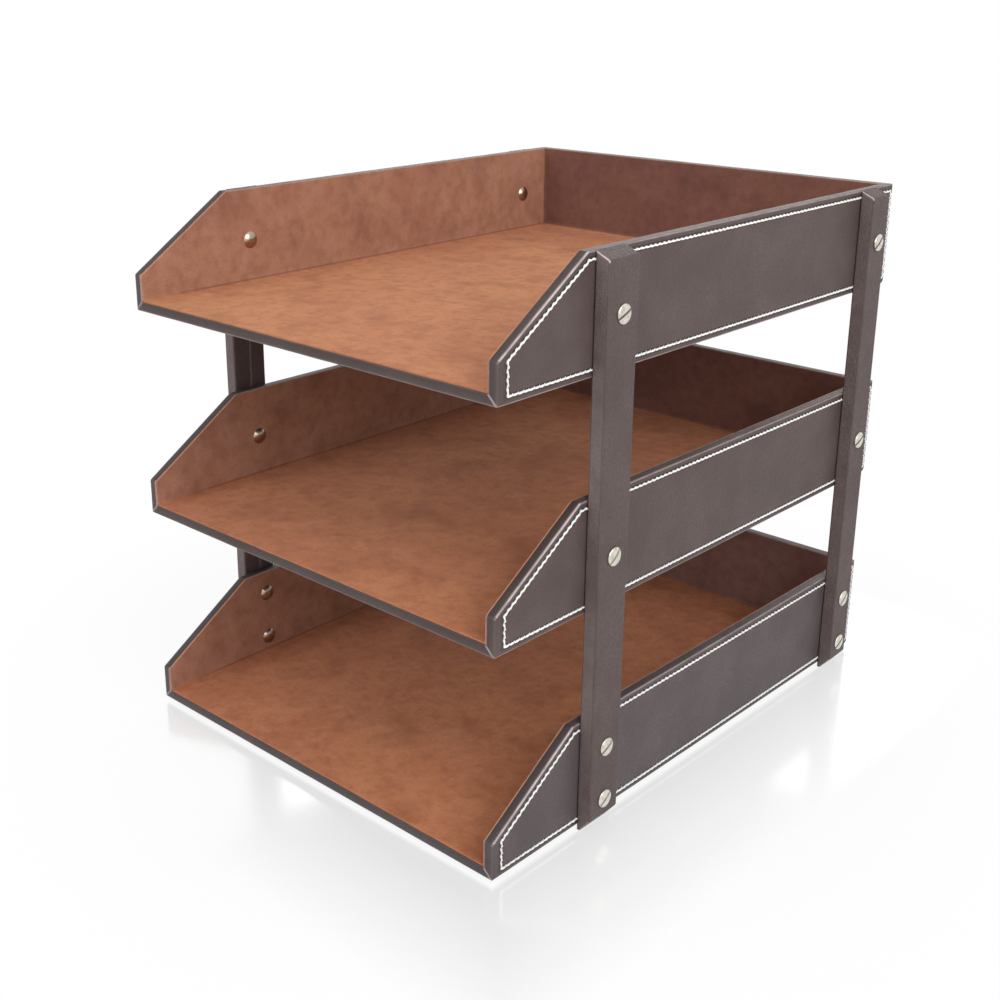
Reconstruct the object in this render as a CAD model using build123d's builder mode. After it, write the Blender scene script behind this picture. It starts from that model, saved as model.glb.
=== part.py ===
"""Three-tier document tray: folded board trays in leather and suede, hung between four wrapped posts."""
import os
from functools import partial

from build123d import *

# Tray, outside sizes
tray_width = 255.0
tray_depth = 334.0
wall_height = 57.0
front_height = 19.5
slope_run = 57.5
tier_names = ("bottom", "middle", "top")
tier_pitch = 114.8

# Layers of a tray's walls and floor, from the outside in
leather_thickness = 0.9
board_thickness = 4.2
lining_thickness = 0.8
lining_reveal = 0.7
edge_chamfer = 0.6

# Thread loops let into the outer panels
stitch_inset = 3.8
front_stitch_inset = 6.4
rear_stitch_inset = 2.4
thread_width = 0.9
thread_depth = 0.45

# Posts on the outside of the side walls
front_post_width = 22.0
rear_post_width = 18.0
post_thickness = 8.0
wrap_thickness = 1.0
wrap_seam_gap = 0.5
front_post_setback = 62.4
rear_post_margin = 19.0
foot_drop = 2.5
foot_flat = 1.6
foot_bevel_height = 8.0
top_bevel_height = 3.6
post_edge_radius = 1.2

# Binding screws and their barrels
screw_pair_spacing = 29.0
head_diameter = 9.4
head_thickness = 1.3
head_sides = 20
slot_width = 1.3
slot_depth = 0.6
slot_turn_degrees = 137.5
shank_diameter = 3.6
shank_tip_gap = 2.9
barrel_diameter = 5.0
barrel_tip_gap = 1.2
barrel_floor = 1.5
dome_height = 1.9
shank_sides = 12
bore_clearance = 0.1
hole_clearance = 0.1

# Steps of a head's rounding, each a share of its radius and a share of its height
screw_head_shares = ((1, 0), (1, 0.55), (0.86, 1))
dome_shares = ((1, 0), (0.82, 0.55), (0.42, 1))

# How far a cut runs past the piece it cuts
cut_overrun = 2.0

# Places that follow from the sizes above
half_width = tray_width / 2
front_y = -tray_depth / 2
back_y = tray_depth / 2
board_depth = leather_thickness + board_thickness
wall_thickness = board_depth + lining_thickness
tier_bases = [foot_drop + tier_pitch * index for index in range(len(tier_names))]
post_top = tier_bases[-1] + wall_height
post_widths = {"front": front_post_width, "rear": rear_post_width}
post_fronts = {"front": front_y + front_post_setback, "rear": back_y - rear_post_margin - rear_post_width}
sides = {"left": -1, "right": 1}
hole_radius = barrel_diameter / 2 + hole_clearance
bore_radius = shank_diameter / 2 + bore_clearance
grip_length = wall_thickness + post_thickness
shank_length = grip_length - barrel_floor - shank_tip_gap
barrel_length = grip_length - barrel_tip_gap


def screw_heights(base):
    """Heights of a post's screws in the tray on that base: two in the lowest tray, one in the others."""
    middle = base + wall_height / 2
    if base == tier_bases[0]:
        return [middle - screw_pair_spacing / 2, middle + screw_pair_spacing / 2]
    return [middle]


def screw_places(bases, post_names):
    """Where the screws of those trays and posts cross the side walls: along the depth and up."""
    lines = [post_fronts[name] + post_widths[name] / 2 for name in post_names]
    return [(line, height) for line in lines for base in bases for height in screw_heights(base)]


def side_outline(side, base, depth, trim, bottom_trim=0, rear_trim=0, front_setback=0):
    """A side wall's outline at a depth below its outer face.

    Its top, slope and front edges are drawn in by trim, its folded edges by their own trims, and its front
    edge by a setback more.
    """
    bottom = base + depth + bottom_trim - trim
    back = back_y - depth - rear_trim + trim
    front = front_y + front_setback
    lip = base + front_height + front_setback * (wall_height - front_height) / slope_run
    with BuildSketch(Plane.YZ.offset(side * (half_width - depth))) as outline:
        with BuildLine():
            Polyline(
                (front, bottom),
                (back, bottom),
                (back, base + wall_height),
                (front_y + slope_run, base + wall_height),
                (front, lip),
                close=True,
            )
        make_face()
        if trim:
            offset(amount=-trim, kind=Kind.INTERSECTION)
    return outline.sketch


def back_outline(base, depth, trim, fold_trim=0):
    """The back wall's outline at a depth below its outer face, its top edge drawn in by trim."""
    reach = half_width - depth - fold_trim
    with BuildSketch(Plane.XZ.offset(depth - back_y)) as outline:
        with BuildLine():
            Polyline(
                (-reach, base + depth + fold_trim),
                (reach, base + depth + fold_trim),
                (reach, base + wall_height - trim),
                (-reach, base + wall_height - trim),
                close=True,
            )
        make_face()
    return outline.sketch


def floor_outline(base, depth, trim):
    """The floor's outline at a depth above its underside, its front edge drawn in by trim."""
    reach = half_width - depth
    with BuildSketch(Plane.XY.offset(base + depth)) as outline:
        with BuildLine():
            Polyline(
                (-reach, front_y + trim),
                (reach, front_y + trim),
                (reach, back_y - depth),
                (-reach, back_y - depth),
                close=True,
            )
        make_face()
    return outline.sketch


def layer(outline, outer_depth, inner_depth, trim):
    """One mitred layer of a wall or floor: a loft from its outer outline to its inner one."""
    with BuildPart() as sheet:
        loft([outline(outer_depth, trim), outline(inner_depth, trim)], ruled=True)
    return sheet.part


def board(outline):
    """The board of a wall or floor, short of its free edges by the leather turned over them."""
    return layer(outline, leather_thickness, board_depth, leather_thickness)


def lining(outline):
    """The suede of a wall or floor, ending just short of the free edges."""
    return layer(outline, board_depth, wall_thickness, lining_reveal)


def cover(outline):
    """The leather of a wall or floor: a panel outside the board and a hem over its free edges."""
    with BuildPart() as leather:
        loft([outline(0, edge_chamfer), outline(edge_chamfer, 0), outline(board_depth, 0)], ruled=True)
        add(board(outline), mode=Mode.SUBTRACT)
    return leather.part


def drilled(piece, side, places):
    """A side wall's or post's piece with the screw holes through it."""
    reach = grip_length + cut_overrun
    with BuildPart() as holed:
        add(piece)
        with BuildSketch(Plane.YZ.offset(side * half_width)):
            with Locations(*places):
                RegularPolygon(hole_radius, shank_sides)
        extrude(amount=reach, both=True, mode=Mode.SUBTRACT)
    return holed.part


def thread_loops(base):
    """The stitching of a tray: one flat band of thread inside the edges of each outer panel."""
    near = stitch_inset - thread_width / 2
    far = stitch_inset + thread_width / 2
    rear_near = rear_stitch_inset - thread_width / 2
    rear_far = rear_stitch_inset + thread_width / 2
    setback = front_stitch_inset - stitch_inset
    with BuildPart() as thread:
        for side in sides.values():
            inward = (-side, 0, 0)
            band = side_outline(side, base, 0, near, near, rear_near, setback)
            extrude(band, amount=thread_depth, dir=inward)
        extrude(back_outline(base, 0, near, near), amount=thread_depth, dir=(0, -1, 0))
        for side in sides.values():
            inside = side_outline(side, base, 0, far, far, rear_far, setback)
            extrude(inside, amount=thread_depth, dir=(-side, 0, 0), mode=Mode.SUBTRACT)
        extrude(back_outline(base, 0, far, far), amount=thread_depth, dir=(0, -1, 0), mode=Mode.SUBTRACT)
    return thread.part


def grooved(piece, thread):
    """A cover with the groove that its stitching lies in."""
    with BuildPart() as leather:
        add(piece)
        add(thread, mode=Mode.SUBTRACT)
    return leather.part


def post_body(side, post_name, inset):
    """A post's solid, drawn in all round by inset: bevelled at the top and above its narrow foot."""
    inner = side * half_width
    with BuildPart() as post:
        with BuildSketch(Plane.XZ.offset(-post_fronts[post_name] - inset)):
            with BuildLine():
                Polyline(
                    (inner, 0),
                    (inner + side * foot_flat, 0),
                    (inner + side * post_thickness, foot_bevel_height),
                    (inner + side * post_thickness, post_top - top_bevel_height),
                    (inner, post_top),
                    close=True,
                )
            make_face()
            if inset:
                offset(amount=-inset, kind=Kind.INTERSECTION)
        extrude(amount=-(post_widths[post_name] - inset - inset))
    return post.part


def post_wrap(side, post_name):
    """A post's leather sleeve, with soft long edges and its seam down the middle of the wall side."""
    seam_y = post_fronts[post_name] + post_widths[post_name] / 2
    with BuildPart() as wrap:
        add(post_body(side, post_name, 0))
        fillet(wrap.edges().filter_by(Axis.Z), radius=post_edge_radius)
        add(post_body(side, post_name, wrap_thickness), mode=Mode.SUBTRACT)
        with BuildSketch(Plane.YZ.offset(side * half_width)):
            with Locations((seam_y, post_top / 2)):
                Rectangle(wrap_seam_gap, post_top + cut_overrun)
        extrude(amount=side * wrap_thickness, mode=Mode.SUBTRACT)
    return wrap.part


def rounded_head(shares, height):
    """A round head standing on XY, stepped in by shares of its radius and height."""
    with BuildPart() as head:
        for radius_share, height_share in shares:
            with BuildSketch(Plane.XY.offset(height * height_share)):
                RegularPolygon(head_diameter / 2 * radius_share, head_sides)
        loft(ruled=True)
    return head.part


def binding_screw():
    """A slotted screw, its head's underside at the origin and its shank down -Z."""
    with BuildPart() as screw:
        add(rounded_head(screw_head_shares, head_thickness))
        with BuildSketch(Plane.XY.offset(head_thickness)):
            Rectangle(head_diameter + cut_overrun, slot_width)
        extrude(amount=-slot_depth, mode=Mode.SUBTRACT)
        with BuildSketch():
            RegularPolygon(shank_diameter / 2, shank_sides)
        extrude(amount=-shank_length)
    return screw.part


def binding_barrel():
    """A sleeve with a domed head, the head's underside at the origin and the sleeve down -Z."""
    with BuildPart() as barrel:
        add(rounded_head(dome_shares, dome_height))
        with BuildSketch():
            RegularPolygon(barrel_diameter / 2, shank_sides)
        extrude(amount=-barrel_length)
        with BuildSketch(Plane.XY.offset(-barrel_floor)):
            RegularPolygon(bore_radius, shank_sides)
        extrude(amount=-barrel_length, mode=Mode.SUBTRACT)
    return barrel.part


def fastener_group(fastener, face_offset, turn):
    """One fastener at every screw place on both sides, seated that far outside the walls' outer faces."""
    outward = 1 if face_offset > 0 else -1
    seats = []
    for side in sides.values():
        tilt = 90 * side * outward
        for index, (along, height) in enumerate(screw_places(tier_bases, post_fronts)):
            seat = Location((side * (half_width + face_offset), along, height), (0, tilt, 0))
            seats.append(seat * Location((0, 0, 0), (0, 0, turn * index)))
    with BuildPart() as group:
        with Locations(*seats):
            add(fastener)
    return group.part


def keep(piece, name):
    """Labels a finished piece and writes its file."""
    piece.label = name
    export_step(piece, f"parts/{name}.step")


def keep_tray(tier, base):
    """Makes and writes every piece of one tray."""
    thread = thread_loops(base)
    keep(thread, f"{tier}_stitching")
    floor = partial(floor_outline, base)
    keep(board(floor), f"{tier}_floor_board")
    keep(cover(floor), f"{tier}_base_cover")
    keep(lining(floor), f"{tier}_floor_lining")
    back = partial(back_outline, base)
    keep(board(back), f"{tier}_back_board")
    keep(grooved(cover(back), thread), f"{tier}_back_cover")
    keep(lining(back), f"{tier}_back_lining")
    places = screw_places([base], post_fronts)
    for side_name, side in sides.items():
        wall = partial(side_outline, side, base)
        leather = grooved(cover(wall), thread)
        keep(drilled(board(wall), side, places), f"{tier}_{side_name}_board")
        keep(drilled(leather, side, places), f"{tier}_{side_name}_cover")
        keep(drilled(lining(wall), side, places), f"{tier}_{side_name}_lining")


def keep_posts():
    """Makes and writes the cores and wraps of the four posts."""
    for side_name, side in sides.items():
        for post_name in post_fronts:
            places = screw_places(tier_bases, [post_name])
            core = post_body(side, post_name, wrap_thickness)
            keep(drilled(core, side, places), f"{post_name}_{side_name}_post_core")
            keep(drilled(post_wrap(side, post_name), side, places), f"{post_name}_{side_name}_post_wrap")


os.makedirs("parts", exist_ok=True)
for tier, base in zip(tier_names, tier_bases):
    keep_tray(tier, base)
keep_posts()
keep(fastener_group(binding_screw(), post_thickness, slot_turn_degrees), "binding_screws")
keep(fastener_group(binding_barrel(), -wall_thickness, 0), "binding_barrels")
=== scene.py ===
"""Looks of a three-tier document tray.

Three folded board trays, covered in dark grained leather and lined with rust suede, hang between four
leather-wrapped posts on slotted binding screws. Sizes inside the classes are in millimetres, and meshes
are written in metres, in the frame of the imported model. The studio is given in metres.
"""

import logging
import math
from dataclasses import dataclass, replace
from enum import Enum
from typing import Any, Iterable, Sequence

import bmesh
import bpy
from bpy.types import ID, Material, Mesh, Node, NodeSocket, NodeTree, Object
from mathutils import Matrix, Vector, noise


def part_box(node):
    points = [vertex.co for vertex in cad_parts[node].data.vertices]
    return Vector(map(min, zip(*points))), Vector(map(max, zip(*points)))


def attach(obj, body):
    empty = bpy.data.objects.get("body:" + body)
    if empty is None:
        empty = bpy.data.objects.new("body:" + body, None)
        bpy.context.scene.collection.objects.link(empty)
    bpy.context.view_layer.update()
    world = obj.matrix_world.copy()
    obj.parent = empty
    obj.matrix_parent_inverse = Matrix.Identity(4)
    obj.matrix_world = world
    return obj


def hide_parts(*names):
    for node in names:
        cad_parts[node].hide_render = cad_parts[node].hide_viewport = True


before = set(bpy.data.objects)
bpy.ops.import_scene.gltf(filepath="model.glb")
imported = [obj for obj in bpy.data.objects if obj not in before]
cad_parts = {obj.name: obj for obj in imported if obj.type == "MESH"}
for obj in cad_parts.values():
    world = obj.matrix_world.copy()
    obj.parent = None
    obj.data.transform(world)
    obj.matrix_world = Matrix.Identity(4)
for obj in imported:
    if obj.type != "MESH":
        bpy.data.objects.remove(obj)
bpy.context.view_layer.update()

MM = 0.001
BODY = "root"
SHARP_ANGLE = math.radians(50)

Colour = tuple[float, float, float, float]
Point2 = tuple[float, float]

log = logging.getLogger("document_tray")


def srgb(red: float, green: float, blue: float) -> Colour:
    """Turns a picture's colour into a linear one.

    Args:
        red, green, blue: The colour on a picture's scale of 0 to 255.

    Returns:
        The same colour on Blender's linear scale, with full alpha.
    """
    def linear(value: float) -> float:
        """One channel on the linear scale."""
        share = value / 255
        return share / 12.92 if share <= 0.04045 else ((share + 0.055) / 1.055) ** 2.4

    return (linear(red), linear(green), linear(blue), 1.0)


def rounding(radius: float, degrees: float) -> Point2:
    """How far in from an edge, and how deep, a point of its rounding lies."""
    angle = math.radians(degrees)
    return radius * (1 - math.sin(angle)), radius * (1 - math.cos(angle))


class Tier(Enum):
    """The three trays, from the desk up."""

    BOTTOM = "bottom"
    MIDDLE = "middle"
    TOP = "top"


class Side(Enum):
    """The two sides, with the way each faces along X."""

    LEFT = -1
    RIGHT = 1

    @property
    def word(self) -> str:
        """The side's name as the nodes spell it."""
        return self.name.lower()


class EdgeKind(Enum):
    """How a panel ends along an edge: turned over the board, or folded into its neighbour."""

    FREE = "free"
    FOLD = "fold"


class PostRow(Enum):
    """The two rows of posts."""

    FRONT = "front"
    REAR = "rear"


# Outlines, and the closed skins that are drawn over them


@dataclass(frozen=True)
class Edge:
    """One straight edge of a panel, up to where the next edge starts."""

    start: Point2
    kind: EdgeKind
    stitch_inset: float = 0.0
    wear: float = 1.0
    inner_wear: float = 0.0
    corner_radius: float = 0.0
    corner_wear: float = 0.0
    # Painted shade on this edge's hem
    hem_soil: float = 0.0


@dataclass(frozen=True)
class Station:
    """One ring of a skin: how far in from the edges it lies, how deep, and how it is painted."""

    free: float = 0.0
    fold: float = 0.0
    depth: float = 0.0
    stitch_share: float = 0.0
    # Pale edge paint: rubbing, and a painted highlight where an edge catches the light
    wear: float = 0.0
    inner_wear: float = 0.0
    fold_wear: float = 0.0
    # Painted shade in stitch grooves, on hems and in lining creases
    soil: float = 0.0
    hem_share: float = 0.0
    # Painted highlight over a whole flat face
    rubbed_flat: float = 0.0
    pucker: float = 0.0
    seam_dip: float = 0.0
    free_edges_only: bool = False
    ignores_relief: bool = False


@dataclass(frozen=True)
class Seat:
    """Where an outline lies in the frame, and which way its depth runs."""

    origin: Vector
    across: Vector
    along: Vector
    inward: Vector

    def point(self, place: Vector, depth: float) -> Vector:
        """The frame's point for a place on the outline and a depth."""
        return self.origin + self.across * place.x + self.along * place.y + self.inward * depth

    def is_reversed(self, outward: Vector) -> bool:
        """Whether a counter-clockwise face looks away from the given direction."""
        return self.across.cross(self.along).dot(outward) < 0


class Outline:
    """A convex outline whose free edges come first, and the rings of points that follow it."""

    CORNER_STEPS = 4
    LEAST_RADIUS = 0.08
    LEAST_STEP = 0.12
    # How pale a hem is painted by its mitred seams, for rubbing and painted highlight, by steps from the seam
    SEAM_WEAR = {1: 1.0, 2: 0.4}

    def __init__(self, edges: Sequence[Edge], pitch: float, end_marks: Sequence[float]) -> None:
        """Lays out the points of a ring.

        Args:
            edges: The edges, counter-clockwise, with the free ones first.
            pitch: About how long each stitch, or each step along an edge, is.
            end_marks: Distances from both ends of an edge where it has extra points.
        """
        self.edges = list(edges)
        starts = [Vector(edge.start) for edge in self.edges]
        ways = [(stop - start).normalized() for start, stop in zip(starts, starts[1:] + starts[:1])]
        self.normals = [Vector((-way.y, way.x)) for way in ways]
        stitch_line = Station(stitch_share=1.0)
        ends = [self._corner(i, self._insets(stitch_line))[0] for i in range(len(self.edges))]
        self.shares: list[list[float]] = []
        self.edge_of: list[int] = []
        self.beat_of: list[int] = []
        self.corner_of: list[float] = []
        self.chain_end = 0
        for i, edge in enumerate(self.edges):
            run = (ends[(i + 1) % len(ends)] - ends[i]).length
            shares, beats = self._steps(run, pitch, end_marks)
            steps = self.CORNER_STEPS if edge.corner_radius else 0
            if i == self.free_count():
                self.chain_end = len(self.edge_of)
            turns = [math.pi * (k + 0.5) / (steps + 1) for k in range(steps + 1)]
            self.corner_of += [math.sin(turn) for turn in turns] + [0.0] * len(shares)
            self.edge_of += [i] * (steps + 1 + len(shares))
            self.beat_of += [0] * (steps + 1) + beats
            self.shares.append(shares)

    def free_count(self) -> int:
        """How many of the edges are free."""
        return sum(edge.kind is EdgeKind.FREE for edge in self.edges)

    def _steps(
        self, run: float, pitch: float, end_marks: Sequence[float]
    ) -> tuple[list[float], list[int]]:
        """Shares along an edge where a ring has points, and each one's place in the stitch's beat.

        Args:
            run: The length of the edge's stitch line.
            pitch: About how long a stitch is.
            end_marks: Distances from the ends that get points of their own.

        Returns:
            The shares, rising, and for each -1 at a needle hole, 1 in mid-stitch and 0 elsewhere.
        """
        stitches = max(1, round(run / pitch))
        beats = {k / (2 * stitches): (1 if k % 2 else -1) for k in range(1, 2 * stitches)}
        for mark in end_marks:
            for share in (mark / run, 1 - mark / run):
                if all(abs(share - other) * run > self.LEAST_STEP for other in beats):
                    beats[share] = 0
        shares = sorted(share for share in beats if 0 < share < 1)
        return shares, [beats[share] for share in shares]

    def _insets(self, station: Station) -> list[float]:
        """How far in each edge lies at a station.

        Args:
            station: The ring's station.

        Returns:
            One distance for each edge.
        """
        return [
            station.stitch_share * edge.stitch_inset
            + (station.free if edge.kind is EdgeKind.FREE else station.fold)
            for edge in self.edges
        ]

    def _meet(self, i: int, before: float, after: float) -> Vector:
        """Where edge i and the one before it meet when drawn in by those distances.

        Args:
            i: The edge that starts there.
            before: How far in the edge before it is drawn.
            after: How far in edge i is drawn.

        Returns:
            The place on the outline.
        """
        a, b = self.normals[i - 1], self.normals[i]
        reach_a = a.dot(Vector(self.edges[i - 1].start)) + before
        reach_b = b.dot(Vector(self.edges[i].start)) + after
        across, up = reach_a * b.y - reach_b * a.y, a.x * reach_b - b.x * reach_a
        area = a.x * b.y - a.y * b.x
        return Vector((across / area, up / area))

    def _corner(self, i: int, insets: Sequence[float]) -> list[Vector]:
        """The points of the corner where edge i starts: one, or a small arc.

        Args:
            i: The edge.
            insets: How far in each edge lies.

        Returns:
            The points, in order.
        """
        edge = self.edges[i]
        if not edge.corner_radius:
            return [self._meet(i, insets[i - 1], insets[i])]
        radius = max(edge.corner_radius - min(insets[i - 1], insets[i]), self.LEAST_RADIUS)
        centre = self._meet(i, insets[i - 1] + radius, insets[i] + radius)
        first = self.normals[i - 1]
        turn = math.acos(max(-1.0, min(1.0, first.dot(self.normals[i]))))
        turns = [turn * k / self.CORNER_STEPS for k in range(self.CORNER_STEPS + 1)]
        return [centre - radius * (Matrix.Rotation(angle, 2) @ first) for angle in turns]

    def ring(self, station: Station) -> list[Vector]:
        """The points of one station, all the way round.

        Args:
            station: The ring's station.

        Returns:
            The points, counter-clockwise.
        """
        insets = self._insets(station)
        corners = [self._corner(i, insets) for i in range(len(self.edges))]
        points: list[Vector] = []
        for i, corner in enumerate(corners):
            stop = corners[(i + 1) % len(corners)][0]
            points += corner
            points += [corner[-1].lerp(stop, share) for share in self.shares[i]]
        if station.seam_dip:
            dipped = self.ring(replace(station, free=station.free + station.seam_dip, seam_dip=0.0))
            for end in (0, self.chain_end):
                points[end] = dipped[end]
        return points

    def wear(self, index: int, station: Station) -> float:
        """How pale a ring's point is painted, for rubbing and painted highlight: by its edge, its corner, and
        the seams at the ends of a hem.

        Args:
            index: The point's place in the ring.
            station: The ring's station.

        Returns:
            The pale paint, from 0 to 1.
        """
        edge = self.edges[self.edge_of[index]]
        worn = max(station.wear * edge.wear, station.inner_wear * edge.inner_wear)
        worn = max(worn, station.rubbed_flat, station.wear * edge.corner_wear * self.corner_of[index])
        if edge.kind is EdgeKind.FOLD:
            worn = max(worn, station.fold_wear)
        if station.free_edges_only and station.seam_dip:
            from_seam = min(index, self.chain_end - index)
            worn = max(worn, self.SEAM_WEAR.get(from_seam, 0.0))
        return worn

    def soil(self, index: int, station: Station) -> float:
        """How much painted shade a ring's point has, on the face or on its edge's hem."""
        return max(station.soil, station.hem_share * self.edges[self.edge_of[index]].hem_soil)

    def fold_distance(self, place: Vector) -> float:
        """How far a place is from the nearest folded edge.

        Args:
            place: A place on the outline.

        Returns:
            The distance.
        """
        return min(
            self.normals[i].dot(place - Vector(edge.start))
            for i, edge in enumerate(self.edges)
            if edge.kind is EdgeKind.FOLD
        )


@dataclass(frozen=True)
class Wave:
    """The slight unevenness of a hand-covered surface: how high its swells are, and how long."""

    height: float
    length: float


@dataclass(frozen=True)
class RoundFold:
    """The long fold between a tray's floor and its back wall, where the leather is drawn round."""

    back: float
    base: float
    radius: float

    def bent(self, point: Vector) -> Vector:
        """Where a point of the square fold lies once it is drawn round.

        Args:
            point: A point of the leather, as if the fold were square.

        Returns:
            The point in the rounded fold, or the same point away from it.
        """
        centre = Vector((self.back - self.radius, self.base + self.radius))
        reach = Vector((point.y - centre.x, centre.y - point.z))
        if min(reach) <= 0:
            return point
        round_reach = reach * (max(reach) / reach.length)
        return Vector((point.x, centre.x + round_reach.x, centre.y - round_reach.y))


class Shell:
    """The points, faces and paint of one closed piece while it is built."""

    def __init__(self) -> None:
        """Starts with nothing."""
        self.points: list[Vector] = []
        self.faces: list[list[int]] = []
        self.paint: dict[str, list[float]] = {"wear": [], "soil": []}

    def _add(self, point: Vector, wear: float, soil: float) -> int:
        """Adds one point with its paint.

        Args:
            point: The point.
            wear: How pale it is painted, for rubbing and painted highlight.
            soil: How much painted shade it has.

        Returns:
            Its index.
        """
        self.points.append(point)
        self.paint["wear"].append(wear)
        self.paint["soil"].append(soil)
        return len(self.points) - 1

    def skin(
        self,
        outline: Outline,
        seat: Seat,
        outward: Vector,
        stations: Sequence[Station],
        pile: "Pile | None" = None,
        fold: RoundFold | None = None,
    ) -> None:
        """Draws a closed skin through rings of an outline.

        Args:
            outline: The outline that the rings follow.
            seat: Where the outline lies.
            outward: The way that the first ring's middle faces.
            stations: The rings in order, from the middle of the face to the middle of its back.
            pile: How a lining rises into its folds, if it does.
            fold: A fold that the skin is drawn round, if it has one.
        """
        rows: list[dict[int, int]] = []
        for station in stations:
            ring = outline.ring(station)
            kept = range(outline.chain_end + 1) if station.free_edges_only else range(len(ring))
            row: dict[int, int] = {}
            for index in kept:
                depth = station.depth - station.pucker * outline.beat_of[index]
                soil = outline.soil(index, station)
                if pile and not station.ignores_relief:
                    depth += pile.lift(outline, ring[index])
                    soil = max(soil, pile.crease(outline, ring[index]))
                point = seat.point(ring[index], depth)
                if fold:
                    point = fold.bent(point)
                row[index] = self._add(point, outline.wear(index, station), soil)
            rows.append(row)
        made = [list(rows[0].values())]
        size = len(outline.edge_of)
        hem: list[dict[int, int]] = []
        whole = rows[0]
        for before, after in zip(rows, rows[1:]):
            made += self._strip(before, after, range(size), size)
            if len(after) < size:
                hem.append(after)
                continue
            if hem:
                made += self._strip(whole, after, range(outline.chain_end, size), size)
                start, end = 0, outline.chain_end
                made.append([whole[start], after[start], *[row[start] for row in reversed(hem)]])
                made.append([whole[end], *[row[end] for row in hem], after[end]])
                hem = []
            whole = after
        made.append(list(reversed(rows[-1].values())))
        if seat.is_reversed(outward):
            made = [list(reversed(face)) for face in made]
        self.faces += made

    @staticmethod
    def _strip(
        before: dict[int, int], after: dict[int, int], span: range, size: int
    ) -> list[list[int]]:
        """Faces between two rows, wherever both have a step.

        Args:
            before: The first row's points, by step.
            after: The second row's points, by step.
            span: The steps to join.
            size: How many steps a whole ring has.

        Returns:
            The faces, by their points.
        """
        found = []
        for j in span:
            k = (j + 1) % size
            if j in before and k in before and j in after and k in after:
                if k or len(before) == len(after) == size:
                    found.append([before[j], after[j], after[k], before[k]])
        return found

    def piece(self, name: str, material: Material, wave: Wave) -> Object:
        """Makes the object.

        Args:
            name: The piece's name.
            material: Its finish.
            wave: Its unevenness.

        Returns:
            The object, linked to the scene, with its place in its mesh.
        """
        mesh = bpy.data.meshes.new(name)
        mesh.from_pydata([point * MM for point in self.points], [], self.faces)
        for key, values in self.paint.items():
            mesh.attributes.new(key, "FLOAT", "POINT").data.foreach_set("value", values)
        mesh.update()
        moved = [
            vertex.co + vertex.normal * MM * wave.height * noise.noise(vertex.co / (MM * wave.length))
            for vertex in mesh.vertices
        ]
        mesh.vertices.foreach_set("co", [value for place in moved for value in place])
        return dressed(name, mesh, material)


def linked(name: str, data: ID) -> Object:
    """Makes an object of a mesh, a light or a camera, and links it to the scene.

    Args:
        name: The object's name.
        data: What it shows.

    Returns:
        The object.
    """
    obj = bpy.data.objects.new(name, data)
    bpy.context.scene.collection.objects.link(obj)
    return obj


def baked(obj: Object) -> Mesh:
    """The plain mesh that an object's modifiers make."""
    depsgraph = bpy.context.evaluated_depsgraph_get()
    return bpy.data.meshes.new_from_object(obj.evaluated_get(depsgraph), depsgraph=depsgraph)


def dressed(name: str, mesh: Mesh, material: Material) -> Object:
    """Makes an object of a finished mesh, smooth but for its sharp edges, in one material.

    Args:
        name: The piece's name.
        mesh: Its finished mesh.
        material: Its finish.

    Returns:
        The object, linked to the scene.
    """
    mesh.shade_smooth()
    mesh.set_sharp_from_angle(angle=SHARP_ANGLE)
    mesh.materials.clear()
    mesh.materials.append(material)
    return linked(name, mesh)


def enlist(piece: Object, slot: str, nodes: Iterable[str]) -> None:
    """Puts a finished piece on the body in place of its nodes, and reports it.

    Args:
        piece: The piece.
        slot: Its material slot, as the log names it.
        nodes: The nodes that it stands for.
    """
    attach(piece, BODY)
    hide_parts(*nodes)
    log.info("%s: %d faces, %s", piece.name, len(piece.data.polygons), slot)


# Shader node groups and finishes


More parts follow.
